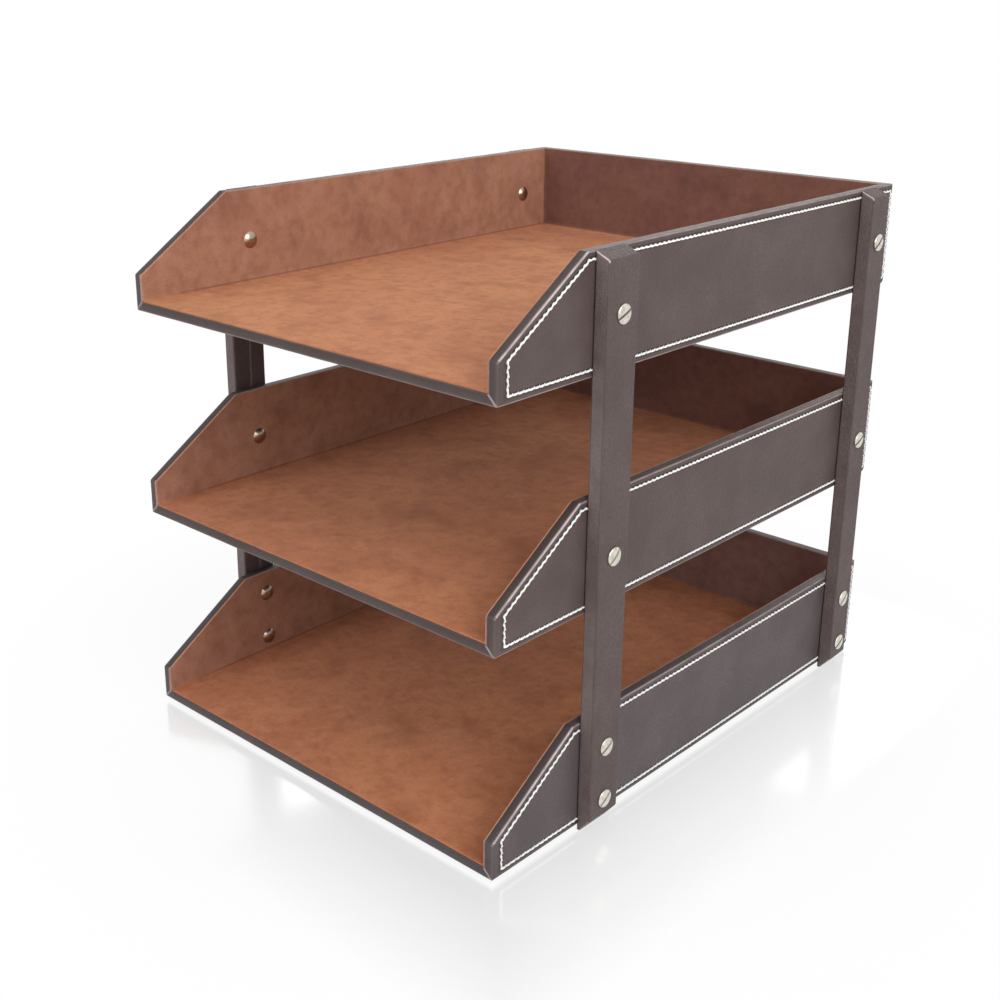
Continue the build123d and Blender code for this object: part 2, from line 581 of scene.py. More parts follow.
class Bench:
    """Adds and joins the nodes of one tree."""

    def __init__(self, tree: NodeTree) -> None:
        """Takes the tree to work on."""
        self.tree = tree

    def node(self, kind: str, inputs: dict[Any, Any] | None = None, **settings: Any) -> Node:
        """Adds a node.

        Args:
            kind: The node's type.
            inputs: Values, or sockets to join, by the input's name or number.
            **settings: The node's own properties.

        Returns:
            The node.
        """
        made = self.tree.nodes.new(kind)
        for key, value in settings.items():
            setattr(made, key, value)
        self.feed(made, inputs or {})
        return made

    def feed(self, node: Node, inputs: dict[Any, Any]) -> None:
        """Sets a node's inputs, or joins sockets to them.

        Args:
            node: The node.
            inputs: Values, or sockets to join, by the input's name or number.
        """
        for key, value in inputs.items():
            if isinstance(value, NodeSocket):
                self.tree.links.new(value, node.inputs[key])
            else:
                node.inputs[key].default_value = value

    def group(self, tree: NodeTree, inputs: dict[str, Any]) -> Node:
        """Places a node group with its values."""
        return self.node("ShaderNodeGroup", inputs, node_tree=tree)

    def math(self, operation: str, a: Any, b: Any = 0.0, clamp: bool = False) -> NodeSocket:
        """The result of a sum on two values or sockets."""
        return self.node("ShaderNodeMath", {0: a, 1: b}, operation=operation, use_clamp=clamp).outputs[0]

    def vector_math(self, operation: str, a: Any, b: Any) -> NodeSocket:
        """The result of a sum on two vectors or sockets."""
        return self.node("ShaderNodeVectorMath", {0: a, 1: b}, operation=operation).outputs[0]

    def remap(self, value: Any, low: float, high: float, to_low: Any = 0.0, to_high: Any = 1.0) -> Any:
        """A value stretched from one range to another and held inside it."""
        inputs = {0: value, 1: low, 2: high, 3: to_low, 4: to_high}
        return self.node("ShaderNodeMapRange", inputs, clamp=True).outputs[0]

    def blend(self, share: Any, first: Any, second: Any) -> NodeSocket:
        """Two colours mixed by a share."""
        inputs = {0: share, 6: first, 7: second}
        return self.node("ShaderNodeMix", inputs, data_type="RGBA").outputs[2]

    def noise(self, vector: Any, scale: Any, detail: Any, roughness: float = 0.5) -> NodeSocket:
        """Soft noise, around a half."""
        inputs = {"Vector": vector, "Scale": scale, "Detail": detail, "Roughness": roughness}
        return self.node("ShaderNodeTexNoise", inputs).outputs[0]

    def scale(self, size: Any) -> NodeSocket:
        """The scale of a pattern whose marks are that many millimetres wide."""
        return self.math("DIVIDE", 1 / MM, size)

    def painted(self, name: str) -> NodeSocket:
        """The value painted on the piece under that name."""
        node = self.node("ShaderNodeAttribute", attribute_type="GEOMETRY", attribute_name=name)
        return node.outputs["Fac"]

    def place(self) -> NodeSocket:
        """The surface's own coordinates, in metres."""
        return self.node("ShaderNodeTexCoord").outputs["Object"]


@dataclass(frozen=True)
class Patches:
    """Soft patches: their size, the noise levels that start and fill them, and how broken up they are."""

    size: float
    low: float = 0.35
    high: float = 0.65
    detail: float = 3.0


@dataclass(frozen=True)
class Fibres:
    """Short fibres: their width, and how many times longer than wide they lie."""

    width: float
    lay: float


@dataclass(frozen=True)
class Relief:
    """A surface's bump: its depth, and how strongly it is drawn."""

    depth: float
    strength: float = 1.0


class Effects:
    """The surface effects that several finishes share, each a node group."""

    FLOAT = "NodeSocketFloat"
    VECTOR = "NodeSocketVector"
    PATCH_ROUGHNESS = 0.55
    PEBBLE_SWAY = 0.6
    PEBBLE_SMOOTHNESS = 0.35
    PEBBLE_TOP, PEBBLE_FOOT = 0.05, 0.75
    VALLEY_FROM = 0.4
    SWELL_SCALE, SWELL_DETAIL = 0.22, 2.0
    RUB_DETAIL, RUB_ROUGHNESS = 4.0, 0.6
    RUB_MISSED, RUB_HIT = 0.3, 0.62
    LEAST_RUB = 0.5
    BARE_PAINT, FULL_PAINT = 0.1, 0.95
    FIBRE_DETAIL, FIBRE_ROUGHNESS = 3.0, 0.6

    def __init__(self) -> None:
        """Builds the groups once."""
        self.clouds = self._clouds()
        self.pebble = self._pebble()
        self.wear = self._wear()
        self.fibre = self._fibre()

    def _start(
        self, name: str, inputs: dict[str, float | None], outputs: Sequence[str]
    ) -> tuple[Bench, Any, Node]:
        """Starts a group.

        Args:
            name: The group's name.
            inputs: Each input and its first value, or None for a vector.
            outputs: The names of its results.

        Returns:
            The bench, the group's inputs and the node that takes its results.
        """
        tree = bpy.data.node_groups.new(name, "ShaderNodeTree")
        for key, value in inputs.items():
            kind = self.VECTOR if value is None else self.FLOAT
            socket = tree.interface.new_socket(name=key, in_out="INPUT", socket_type=kind)
            if value is not None:
                socket.default_value = value
        for key in outputs:
            tree.interface.new_socket(name=key, in_out="OUTPUT", socket_type=self.FLOAT)
        bench = Bench(tree)
        return bench, bench.node("NodeGroupInput").outputs, bench.node("NodeGroupOutput")

    def _clouds(self) -> NodeTree:
        """Soft patches of one size, from none to full.

        Returns:
            The group.
        """
        inputs = {"Vector": None, "Patch size": 20.0, "Low": 0.35, "High": 0.65, "Detail": 3.0}
        bench, given, result = self._start("Soft patches", inputs, ["Mask"])
        scale = bench.scale(given["Patch size"])
        patches = bench.noise(given["Vector"], scale, given["Detail"], self.PATCH_ROUGHNESS)
        levels = {0: patches, 1: given["Low"], 2: given["High"]}
        mask = bench.node("ShaderNodeMapRange", levels, interpolation_type="SMOOTHSTEP", clamp=True)
        bench.feed(result, {"Mask": mask.outputs[0]})
        return bench.tree

    def _pebble(self) -> NodeTree:
        """Leather grain: small uneven pebbles with fine pores between them.

        Returns:
            The group.
        """
        inputs = {"Vector": None, "Pebble size": 1.1, "Unevenness": 0.5}
        bench, given, result = self._start("Pebble grain", inputs, ["Height", "Valley"])
        scale = bench.scale(given["Pebble size"])
        bent = bench.node("ShaderNodeTexNoise", {"Vector": given["Vector"], "Scale": scale, "Detail": 1.0})
        sway = bench.vector_math("MULTIPLY", bent.outputs["Color"], (self.PEBBLE_SWAY * MM,) * 3)
        vector = bench.vector_math("ADD", given["Vector"], sway)
        shape = {"Vector": vector, "Scale": scale, "Smoothness": self.PEBBLE_SMOOTHNESS}
        cells = bench.node("ShaderNodeTexVoronoi", shape, feature="SMOOTH_F1")
        away = cells.outputs["Distance"]
        dome = bench.remap(away, self.PEBBLE_TOP, self.PEBBLE_FOOT, 1.0, 0.0)
        swell_scale = bench.math("MULTIPLY", scale, self.SWELL_SCALE)
        swell = bench.noise(given["Vector"], swell_scale, self.SWELL_DETAIL)
        height = bench.math("ADD", dome, bench.math("MULTIPLY", swell, given["Unevenness"]))
        valley = bench.remap(away, self.VALLEY_FROM, self.PEBBLE_FOOT)
        bench.feed(result, {"Height": height, "Valley": valley})
        return bench.tree

    def _wear(self) -> NodeTree:
        """A pale edge line, for rubbing and painted highlight, broken up where the rubbing missed.

        Returns:
            The group.
        """
        inputs = {"Painted": 0.0, "Vector": None, "Break-up": 7.0, "Strength": 1.0}
        bench, given, result = self._start("Rubbed edge", inputs, ["Mask"])
        scale = bench.scale(given["Break-up"])
        level = bench.noise(given["Vector"], scale, self.RUB_DETAIL, self.RUB_ROUGHNESS)
        broken = bench.remap(level, self.RUB_MISSED, self.RUB_HIT, self.LEAST_RUB, 1.0)
        painted = bench.remap(given["Painted"], self.BARE_PAINT, self.FULL_PAINT)
        rubbed = bench.math("MULTIPLY", painted, broken)
        mask = bench.math("MULTIPLY", rubbed, given["Strength"], clamp=True)
        bench.feed(result, {"Mask": mask})
        return bench.tree

    def _fibre(self) -> NodeTree:
        """Short fibres lying mostly one way, as in brushed suede, thread or pressed board.

        Returns:
            The group.
        """
        inputs = {"Vector": None, "Fibre width": 0.4, "Lay": 3.0}
        bench, given, result = self._start("Short fibres", inputs, ["Height"])
        slack = bench.math("DIVIDE", 1.0, given["Lay"])
        stretch = bench.node("ShaderNodeCombineXYZ", {"X": 1.0, "Y": slack, "Z": 1.0}).outputs[0]
        laid = bench.vector_math("MULTIPLY", given["Vector"], stretch)
        scale = bench.scale(given["Fibre width"])
        height = bench.noise(laid, scale, self.FIBRE_DETAIL, self.FIBRE_ROUGHNESS)
        bench.feed(result, {"Height": height})
        return bench.tree


class Surface:
    """A material while it is made: one Principled shader, and the shared effects that are placed in it."""

    FIBRE_LOW, FIBRE_HIGH = 0.3, 0.7

    def __init__(self, name: str, effects: Effects) -> None:
        """Starts the material.

        Args:
            name: The material's name.
            effects: The shared effects.
        """
        self.made = bpy.data.materials.new(name)
        self.made.use_nodes = True
        self.bench = Bench(self.made.node_tree)
        self.effects = effects
        self.place = self.bench.place()

    def patches(self, kind: Patches) -> NodeSocket:
        """The mask of soft patches.

        Args:
            kind: Their size and softness.

        Returns:
            The mask.
        """
        inputs = {"Vector": self.place, "Patch size": kind.size, "Low": kind.low, "High": kind.high,
                  "Detail": kind.detail}
        return self.bench.group(self.effects.clouds, inputs).outputs["Mask"]

    def fibres(self, kind: Fibres) -> NodeSocket:
        """The height of short fibres."""
        inputs = {"Vector": self.place, "Fibre width": kind.width, "Lay": kind.lay}
        return self.bench.group(self.effects.fibre, inputs).outputs["Height"]

    def fibre_range(self, height: Any, to_low: float, to_high: float) -> NodeSocket:
        """A value that goes with the fibres' height, from their hollows to their tops."""
        return self.bench.remap(height, self.FIBRE_LOW, self.FIBRE_HIGH, to_low, to_high)

    def tinted(self, colour: Any, mask: Any, share: float, tint: Colour) -> NodeSocket:
        """A colour that turns to a tint where a mask is, up to a share."""
        return self.bench.blend(self.bench.math("MULTIPLY", mask, share), colour, tint)

    def finished(
        self, colour: Any, roughness: Any, height: Any, relief: Relief, plain: dict[str, Any]
    ) -> Material:
        """Joins the results to the shader.

        Args:
            colour: The surface's colour.
            roughness: Its roughness.
            height: What its bump follows.
            relief: How deep that bump is.
            plain: Values that are the same all over, by the shader's input.

        Returns:
            The finished material.
        """
        bumps = {"Strength": relief.strength, "Distance": relief.depth * MM, "Height": height}
        normal = self.bench.node("ShaderNodeBump", bumps).outputs[0]
        joined = {"Base Color": colour, "Roughness": roughness, "Normal": normal}
        self.bench.feed(self.made.node_tree.nodes["Principled BSDF"], joined | plain)
        return self.made


@dataclass(frozen=True)
class LeatherFinish:
    """Dark grained leather, painted pale along its edges for rubbing and painted highlight, with painted
    shade in its stitch grooves and on its hems.
    """

    name: str
    deep: Colour = srgb(80, 67, 65)
    bright: Colour = srgb(90, 77, 75)
    # Pale edge colour: rubbing, and a painted highlight where an edge catches the light
    rubbed: Colour = srgb(206, 190, 188)
    # Painted shade colour for the stitch grooves and the hems
    soiled: Colour = srgb(30, 24, 22)
    patches: Patches = Patches(26.0, 0.3, 0.7)
    pebble_size: float = 1.0
    pebble_depth: float = 0.10
    pebble_height: float = 1.4
    unevenness: float = 0.6
    valley_share: float = 0.45
    soil_share: float = 0.7
    rub: float = 0.95
    rub_break_up: float = 9.0
    valley_roughness: float = 0.62
    pebble_roughness: float = 0.44
    specular: float = 0.3

    def material(self, effects: Effects) -> Material:
        """Builds the material from the shared effects.

        Args:
            effects: The shared effects.

        Returns:
            The material.
        """
        surface = Surface(self.name, effects)
        bench, place = surface.bench, surface.place
        grain_inputs = {"Vector": place, "Pebble size": self.pebble_size, "Unevenness": self.unevenness}
        grain = bench.group(effects.pebble, grain_inputs).outputs
        colour = bench.blend(surface.patches(self.patches), self.deep, self.bright)
        colour = surface.tinted(colour, grain["Valley"], self.valley_share, self.deep)
        # Painted shade in the stitch grooves and on the hems
        colour = surface.tinted(colour, bench.painted("soil"), self.soil_share, self.soiled)
        # Pale edges: rubbing and painted highlight
        rub_inputs = {"Painted": bench.painted("wear"), "Vector": place, "Break-up": self.rub_break_up,
                      "Strength": self.rub}
        rubbed = bench.group(effects.wear, rub_inputs).outputs["Mask"]
        colour = bench.blend(rubbed, colour, self.rubbed)
        height = grain["Height"]
        rough = bench.remap(height, 0.0, self.pebble_height, self.valley_roughness, self.pebble_roughness)
        plain = {"Specular IOR Level": self.specular}
        return surface.finished(colour, rough, height, Relief(self.pebble_depth), plain)


@dataclass(frozen=True)
class SuedeFinish:
    """Brushed rust suede, mottled where its nap lies this way and that."""

    name: str
    deep: Colour = srgb(146, 85, 59)
    middle: Colour = srgb(190, 122, 84)
    warm: Colour = srgb(202, 137, 91)
    bright: Colour = srgb(210, 145, 107)
    cut: Colour = srgb(204, 146, 114)
    # Painted shade colour for the creases of the folds and the front cut edge
    fold: Colour = srgb(112, 68, 50)
    sheen_tint: Colour = srgb(240, 220, 208)
    broad: Patches = Patches(64.0, 0.3, 0.7, 2.0)
    light: Patches = Patches(17.0, 0.32, 0.7, 4.0)
    smudge: Patches = Patches(30.0, 0.46, 0.74, 4.0)
    brushed: Patches = Patches(6.0, 0.38, 0.74, 5.0)
    nap: Fibres = Fibres(0.9, 1.4)
    light_share: float = 0.6
    smudge_share: float = 0.5
    brushed_share: float = 0.4
    nap_share: float = 0.3
    cut_share: float = 0.6
    crease_share: float = 0.7
    light_height: float = 0.5
    relief: Relief = Relief(0.12, 0.7)
    least_roughness: float = 0.86
    most_roughness: float = 0.98
    specular: float = 0.16
    sheen: float = 0.1
    sheen_roughness: float = 0.55

    def material(self, effects: Effects) -> Material:
        """Builds the material from the shared effects.

        Args:
            effects: The shared effects.

        Returns:
            The material.
        """
        surface = Surface(self.name, effects)
        bench = surface.bench
        light, nap = surface.patches(self.light), surface.fibres(self.nap)
        colour = bench.blend(surface.patches(self.broad), self.middle, self.warm)
        for mask, share, tint in (
            (light, self.light_share, self.bright),
            (surface.patches(self.smudge), self.smudge_share, self.deep),
            (surface.patches(self.brushed), self.brushed_share, self.deep),
            (surface.fibre_range(nap, 0.0, 1.0), self.nap_share, self.deep),
            (bench.painted("wear"), self.cut_share, self.cut),
            # Painted shade in the creases and along the front cut edge
            (bench.painted("soil"), self.crease_share, self.fold),
        ):
            colour = surface.tinted(colour, mask, share, tint)
        rough = bench.remap(light, 0.0, 1.0, self.least_roughness, self.most_roughness)
        height = bench.math("ADD", nap, bench.math("MULTIPLY", light, self.light_height))
        plain = {"Specular IOR Level": self.specular, "Sheen Weight": self.sheen,
                 "Sheen Roughness": self.sheen_roughness, "Sheen Tint": self.sheen_tint}
        return surface.finished(colour, rough, height, self.relief, plain)


@dataclass(frozen=True)
class ThreadFinish:
    """White waxed thread, a little soiled in patches and between its fibres."""

    name: str
    clean: Colour = srgb(252, 251, 249)
    soiled: Colour = srgb(226, 222, 216)
    patches: Patches = Patches(14.0, 0.45, 0.75)
    fibres: Fibres = Fibres(0.12, 2.0)
    patch_share: float = 0.5
    fibre_share: float = 0.35
    soil_from: float = 0.45
    soil_to: float = 0.75
    least_roughness: float = 0.5
    most_roughness: float = 0.7
    relief: Relief = Relief(0.05, 0.5)
    sheen: float = 0.1

    def material(self, effects: Effects) -> Material:
        """Builds the material from the shared effects.

        Args:
            effects: The shared effects.

        Returns:
            The material.
        """
        surface = Surface(self.name, effects)
        fibres = surface.fibres(self.fibres)
        colour = surface.tinted(self.clean, surface.patches(self.patches), self.patch_share, self.soiled)
        between = surface.bench.remap(fibres, self.soil_from, self.soil_to)
        colour = surface.tinted(colour, between, self.fibre_share, self.soiled)
        rough = surface.fibre_range(fibres, self.least_roughness, self.most_roughness)
        return surface.finished(colour, rough, fibres, self.relief, {"Sheen Weight": self.sheen})


@dataclass(frozen=True)
class NickelFinish:
    """Bright nickel plate with fine handling marks, and painted shade in its slots and under its rims."""

    name: str
    plate: Colour = srgb(224, 220, 210)
    dull: Colour = srgb(172, 164, 148)
    # Painted shade colour for slots and rims
    slot_dirt: Colour = srgb(122, 114, 100)
    roughness: float = 0.2
    scratch_roughness: float = 0.14
    patches: Patches = Patches(2.2, 0.4, 0.7)
    scratches: Fibres = Fibres(0.15, 9.0)
    dull_share: float = 0.6
    dirt_share: float = 0.9
    relief: Relief = Relief(0.02, 0.25)

    def material(self, effects: Effects) -> Material:
        """Builds the material from the shared effects.

        Args:
            effects: The shared effects.

        Returns:
            The material.
        """
        surface = Surface(self.name, effects)
        scratches = surface.fibres(self.scratches)
        colour = surface.tinted(self.plate, surface.patches(self.patches), self.dull_share, self.dull)
        # Painted shade in the slot and under the rim
        colour = surface.tinted(colour, surface.bench.painted("soil"), self.dirt_share, self.slot_dirt)
        rough = surface.fibre_range(scratches, self.roughness, self.roughness + self.scratch_roughness)
        return surface.finished(colour, rough, scratches, self.relief, {"Metallic": 1.0})


@dataclass(frozen=True)
class BoardFinish:
    """Brown pressed fibreboard, inside the leather."""

    name: str
    pale: Colour = srgb(158, 124, 92)
    dark: Colour = srgb(112, 82, 58)
    patches: Patches = Patches(6.0)
    fibres: Fibres = Fibres(0.9, 4.0)
    least_roughness: float = 0.8
    most_roughness: float = 0.95
    relief: Relief = Relief(0.1, 0.4)

    def material(self, effects: Effects) -> Material:
        """Builds the material from the shared effects.

        Args:
            effects: The shared effects.

        Returns:
            The material.
        """
        surface = Surface(self.name, effects)
        bench, fibres = surface.bench, surface.fibres(self.fibres)
        share = bench.math("MULTIPLY", fibres, surface.patches(self.patches))
        colour = bench.blend(share, self.pale, self.dark)
        rough = bench.remap(share, 0.0, 1.0, self.least_roughness, self.most_roughness)
        return surface.finished(colour, rough, fibres, self.relief, {})


@dataclass
class Wardrobe:
    """The finished materials, one for each slot and use."""

    panel_leather: Material
    low_leather: Material
    post_leather: Material
    suede: Material
    low_suede: Material
    side_suede: Material
    back_suede: Material
    low_back_suede: Material
    thread: Material
    nickel: Material
    dull_nickel: Material
    board: Material

    @classmethod
    def filled(cls) -> "Wardrobe":
        """Builds the shared effects and every finish.

        Returns:
            The wardrobe.
        """
        finishes = {
            "panel_leather": LeatherFinish("panel_leather"),
            # A greyer copy of the leather for the bottom tray: a painted reflection of its pale surroundings
            "low_leather": LeatherFinish("low_leather", deep=srgb(81, 71, 72), bright=srgb(91, 81, 82)),
            "post_leather": LeatherFinish("post_leather", pebble_size=1.4, pebble_depth=0.16),
            "suede": SuedeFinish("rust_suede"),
            # Darker copies of the rust suede, painted shade for the lower floors, the side walls and the back
            # walls; the bottom tray's back suede is lighter and greyer
            "low_suede": SuedeFinish("low_suede", deep=srgb(144, 81, 57), middle=srgb(187, 117, 81),
                                     warm=srgb(199, 131, 88), bright=srgb(207, 139, 103)),
            "side_suede": SuedeFinish("side_suede", deep=srgb(130, 86, 69), middle=srgb(169, 118, 96),
                                      warm=srgb(179, 130, 103), bright=srgb(187, 139, 117)),
            "back_suede": SuedeFinish("back_suede", deep=srgb(92, 60, 53), middle=srgb(118, 80, 70),
                                      warm=srgb(126, 87, 73), bright=srgb(134, 95, 84)),
            "low_back_suede": SuedeFinish("low_back_suede", deep=srgb(108, 77, 69), middle=srgb(138, 102, 94),
                                          warm=srgb(146, 109, 98), bright=srgb(154, 117, 108)),
            "thread": ThreadFinish("white_thread"),
            "nickel": NickelFinish("nickel_plate"),
            # A browner copy of the nickel for the barrels: a painted reflection of the suede round them
            "dull_nickel": NickelFinish("dull_nickel", plate=srgb(178, 161, 145), dull=srgb(142, 123, 107),
                                        roughness=0.22),
            "board": BoardFinish("fibreboard"),
        }
        effects = Effects()
        return cls(**{use: finish.material(effects) for use, finish in finishes.items()})


# Trays


@dataclass(frozen=True)
class Pile:
    """How a lining rises into the folds where it meets its neighbours."""

    wall_depth: float
    fold_radius: float
    crease_width: float
    soft_from: float
    soft_to: float
    runs_to_front: bool

    # Where the two halves of a fold meet, as a share of its radius
    FOLD_MIDDLE = 1 - math.sqrt(0.5)

    def lift(self, outline: Outline, place: Vector) -> float:
        """How far the suede stands off its panel near a fold.

        Args:
            outline: The lining's outline.
            place: A place on it.

        Returns:
            The height.
        """
        away = outline.fold_distance(place) - self.wall_depth
        short = self.fold_radius - max(away, 0.0)
        if short <= 0:
            return 0.0
        return self.fold_radius - math.sqrt(self.fold_radius**2 - short**2)

    def crease(self, outline: Outline, place: Vector) -> float:
        """The painted shade in the crease of a fold, fading out towards the open front.

        Args:
            outline: The lining's outline.
            place: A place on it.

        Returns:
            The painted shade, from 0 to 1.
        """
        away = outline.fold_distance(place) - self.wall_depth - self.fold_radius * self.FOLD_MIDDLE
        depth = math.exp(-((max(away, 0.0) / self.crease_width) ** 2))
        run = place.x if self.runs_to_front else place.y
        share = min(1.0, max(0.0, (run - self.soft_from) / (self.soft_to - self.soft_from)))
        return depth * share


@dataclass(frozen=True)
class TraySizes:
    """Sizes that the three trays share."""

    front_height: float = 19.5
    slope_run: float = 57.5
    leather: float = 0.85
    board_depth: float = 5.1
    lining_depth: float = 5.9
    lining_reveal: float = 0.25
    floor_reveal: float = 0.7
    edge_radius: float = 1.1
    hem_radius: float = 0.6
    corner_radius: float = 1.5
    mitre_gap: float = 0.05
    seam_dip: float = 0.22
    groove_depth: float = 0.42
    groove_reach: float = 1.1
    field_sink: float = 0.1
    stitch_pitch: float = 3.45
    stitch_inset: float = 3.8
    front_stitch_inset: float = 6.4
    rear_stitch_inset: float = 2.4
    fold_radius: float = 2.0
    crease_width: float = 0.6
    crease_soft_from: float = 6.0
    crease_soft_to: float = 40.0
    rear_fold_radius: float = 3.0


class Panel:
    """One wall or floor of a tray: its outline, its leather and its suede."""

    END_MARKS = (0.25, 0.6, 1.0, 1.5, 2.2)
    PLAIN_PITCH = 8.0
    COVER_WAVE = Wave(0.07, 14.0)
    LINING_WAVE = Wave(0.08, 18.0)

    # Rings of a face without stitches: how far in from its edges
    PLAIN_INSETS = (6.0, 3.0, 2.4, 1.8)
    # Rings of a stitched face's field: how far inside the thread, and how deep as a share of its sink
    FIELD_RINGS = ((5.0, 1.0), (2.4, 1.0), (1.2, 0.6))
    # Rings of its groove: how far inside the thread as a share of the groove's reach, how deep as shares of
    # the field's sink and of the groove's depth, painted shade in the groove, and pucker
    GROOVE_RINGS = (
        (1.0, 0.8, 0.0, 0.8, 0.05),
        (0.5, 0.0, 0.8, 1.0, 0.08),
        (0.0, 0.0, 1.0, 1.0, 0.12),
        (-0.5, 0.0, 0.8, 1.0, 0.08),
        (-1.0, 0.4, 0.0, 0.6, 0.05),
    )
    # A ring in the band outside the thread, as a share of the way in to the thread
    BAND_SHARE = 0.47

    # Pale edge paint round the outer edge, and round the hem's inner edge, by degrees: rubbing, and a painted
    # highlight where the rounded edge catches the light
    EDGE_WEAR = {15: 0.3, 30: 0.85, 45: 1.0, 60: 0.65, 75: 0.3, 90: 0.15}
    MITRE_ANGLE = 45
    HEM_WEAR = {0: 0.35, 30: 1.0, 60: 1.0, 90: 0.35}
    HEM_END_WEAR = 0.15
    # The hem's flat: how far from its two roundings its rings lie, how hollow it is, and its painted shade
    # from the outer edge inwards
    HEM_START, HEM_END = 0.4, 0.3
    HEM_HOLLOW = 0.06
    HEM_SOIL_OUTSIDE = 0.3
    HEM_SOIL_RISE = 0.9

    # Rings of the suede: on its field, how far in from cut edges and from folds; at its folds, how far round
    # and how far in from cut edges; and at its cut edges, how far in, how far down and how worn
    LINING_FIELD = ((5.0, 6.0), (2.6, 3.0))
    LINING_FOLD = ((0, 1.7), (15, 1.4), (30, 1.1), (45, 0.8))
    LINING_CUT = ((0.4, 0.0, 0.0), (0.18, 0.05, 0.5), (0.04, 0.2, 1.0), (0.0, 0.5, 1.0))
    # Painted shade along the floor suede's front cut edge, where it turns down
    FRONT_CUT_SOIL = 0.6

    def __init__(
        self, sizes: TraySizes, seat: Seat, edges: Sequence[Edge], stitched: bool, side_wall: bool
    ) -> None:
        """Lays out the panel.

        Args:
            sizes: The trays' sizes.
            seat: Where its outer face lies.
            edges: The outline of its outer face.
            stitched: Whether thread runs round it.
            side_wall: Whether its first axis runs from front to back.
        """
        self.sizes = sizes
        self.seat = seat
        self.stitched = stitched
        self.side_wall = side_wall
        pitch = sizes.stitch_pitch if stitched else self.PLAIN_PITCH
        self.outline = Outline(edges, pitch, self.END_MARKS)
        self.lining_outline = Outline(edges, self.PLAIN_PITCH, self.END_MARKS)

    def _face_stations(self) -> list[Station]:
        """The rings of the outer face, from its middle to the start of its rounded edges.

        Returns:
            The rings, in order.
        """
        size = self.sizes
        edge = Station(size.edge_radius, size.edge_radius)
        if not self.stitched:
            return [*(Station(inset, inset) for inset in self.PLAIN_INSETS), edge]
        sink = size.field_sink
        rings = [Station(inset, inset, sink * share, 1.0) for inset, share in self.FIELD_RINGS]
        for reach_share, sink_share, groove_share, soil, pucker in self.GROOVE_RINGS:
            inset = size.groove_reach * reach_share
            depth = sink * sink_share + size.groove_depth * groove_share
            rings.append(Station(inset, inset, depth, 1.0, soil=soil, pucker=-pucker))
        return [*rings, Station(stitch_share=self.BAND_SHARE), edge]

    def _hem_stations(self) -> list[Station]:
        """The rings of the rounded edge, of the hem over the board, and of the leather's inner face.

        Returns:
            The rings, in order.
        """
        size = self.sizes
        rings = []
        for angle, worn in self.EDGE_WEAR.items():
            in_from_edge, depth = rounding(size.edge_radius, angle)
            over = angle > self.MITRE_ANGLE
            rings.append(Station(
                in_from_edge,
                depth + size.mitre_gap if over else in_from_edge,
                depth,
                wear=worn,
                free_edges_only=over,
                seam_dip=size.seam_dip if over else 0.0,
            ))
        flat_end = size.board_depth - size.hem_radius
        hem = [
            (0.0, size.edge_radius + self.HEM_START, 0.0),
            (self.HEM_HOLLOW, (size.edge_radius + flat_end) / 2, 0.0),
            (0.0, flat_end - self.HEM_END, self.HEM_END_WEAR),
        ]
        for angle, worn in self.HEM_WEAR.items():
            turn = math.radians(angle)
            depth = flat_end + size.hem_radius * math.sin(turn)
            hem.append((size.hem_radius * (1 - math.cos(turn)), depth, worn))
        hem.append((size.leather, size.board_depth, 0.0))
        for in_from_edge, depth, worn in hem:
            # Painted shade on the hem, growing darker towards the suede
            share = self.HEM_SOIL_OUTSIDE + self.HEM_SOIL_RISE * depth / size.board_depth
            rings.append(Station(in_from_edge, depth + size.mitre_gap, depth, inner_wear=worn,
                                 hem_share=share, free_edges_only=True, seam_dip=size.seam_dip))
        rings.append(Station(size.leather, size.leather, size.leather))
        return rings

    def cover(self, name: str, material: Material, fold: RoundFold) -> Object:
        """Makes the panel's leather, with its hem.

        Args:
            name: The piece's name.
            material: The leather.
            fold: The tray's rounded fold.

        Returns:
            The leather's object.
        """
        shell = Shell()
        stations = self._face_stations() + self._hem_stations()
        shell.skin(self.outline, self.seat, -self.seat.inward, stations, fold=fold)
        return shell.piece(name, material, self.COVER_WAVE)

    def _lining_stations(self) -> list[Station]:
        """The rings of the suede, from its middle over its folds and cut edges to its back.

        Returns:
            The rings, in order.
        """
        size = self.sizes
        reveal = size.lining_reveal if self.stitched else size.floor_reveal
        face = size.lining_depth
        rings = [Station(reveal + cut, face + fold, face) for cut, fold in self.LINING_FIELD]
        for angle, in_from_edge in self.LINING_FOLD:
            from_fold, _ = rounding(size.fold_radius, angle)
            rings.append(Station(reveal + in_from_edge, face + from_fold, face))
        seam = rings[-1].fold
        for in_from_edge, drop, worn in self.LINING_CUT:
            soil = 0.0 if self.stitched else self.FRONT_CUT_SOIL * worn
            rings.append(Station(reveal + in_from_edge, seam, face - drop, wear=worn, soil=soil,
                                 free_edges_only=True))
        rings.append(Station(reveal, size.board_depth, size.board_depth, ignores_relief=True))
        return rings

    def lining(self, name: str, material: Material) -> Object:
        """Makes the panel's suede.

        Args:
            name: The piece's name.
            material: The suede.

        Returns:
            The suede's object.
        """
        size = self.sizes
        front = min(edge.start[0 if self.side_wall else 1] for edge in self.outline.edges)
        pile = Pile(size.lining_depth, size.fold_radius, size.crease_width, front + size.crease_soft_from,
                    front + size.crease_soft_to, self.side_wall)
        shell = Shell()
        shell.skin(self.lining_outline, self.seat, self.seat.inward, self._lining_stations(), pile)
        return shell.piece(name, material, self.LINING_WAVE)

    def stitch_runs(self) -> list[tuple[Vector, Vector]]:
        """The straight runs of thread round the panel, from corner to corner.

        Returns:
            The start and the end of each run.
        """
        ring = self.outline.ring(Station(stitch_share=1.0))
        firsts = [self.outline.edge_of.index(i) for i in range(len(self.outline.edges))]
        corners = [self.seat.point(ring[first], 0.0) for first in firsts]
        return list(zip(corners, corners[1:] + corners[:1]))


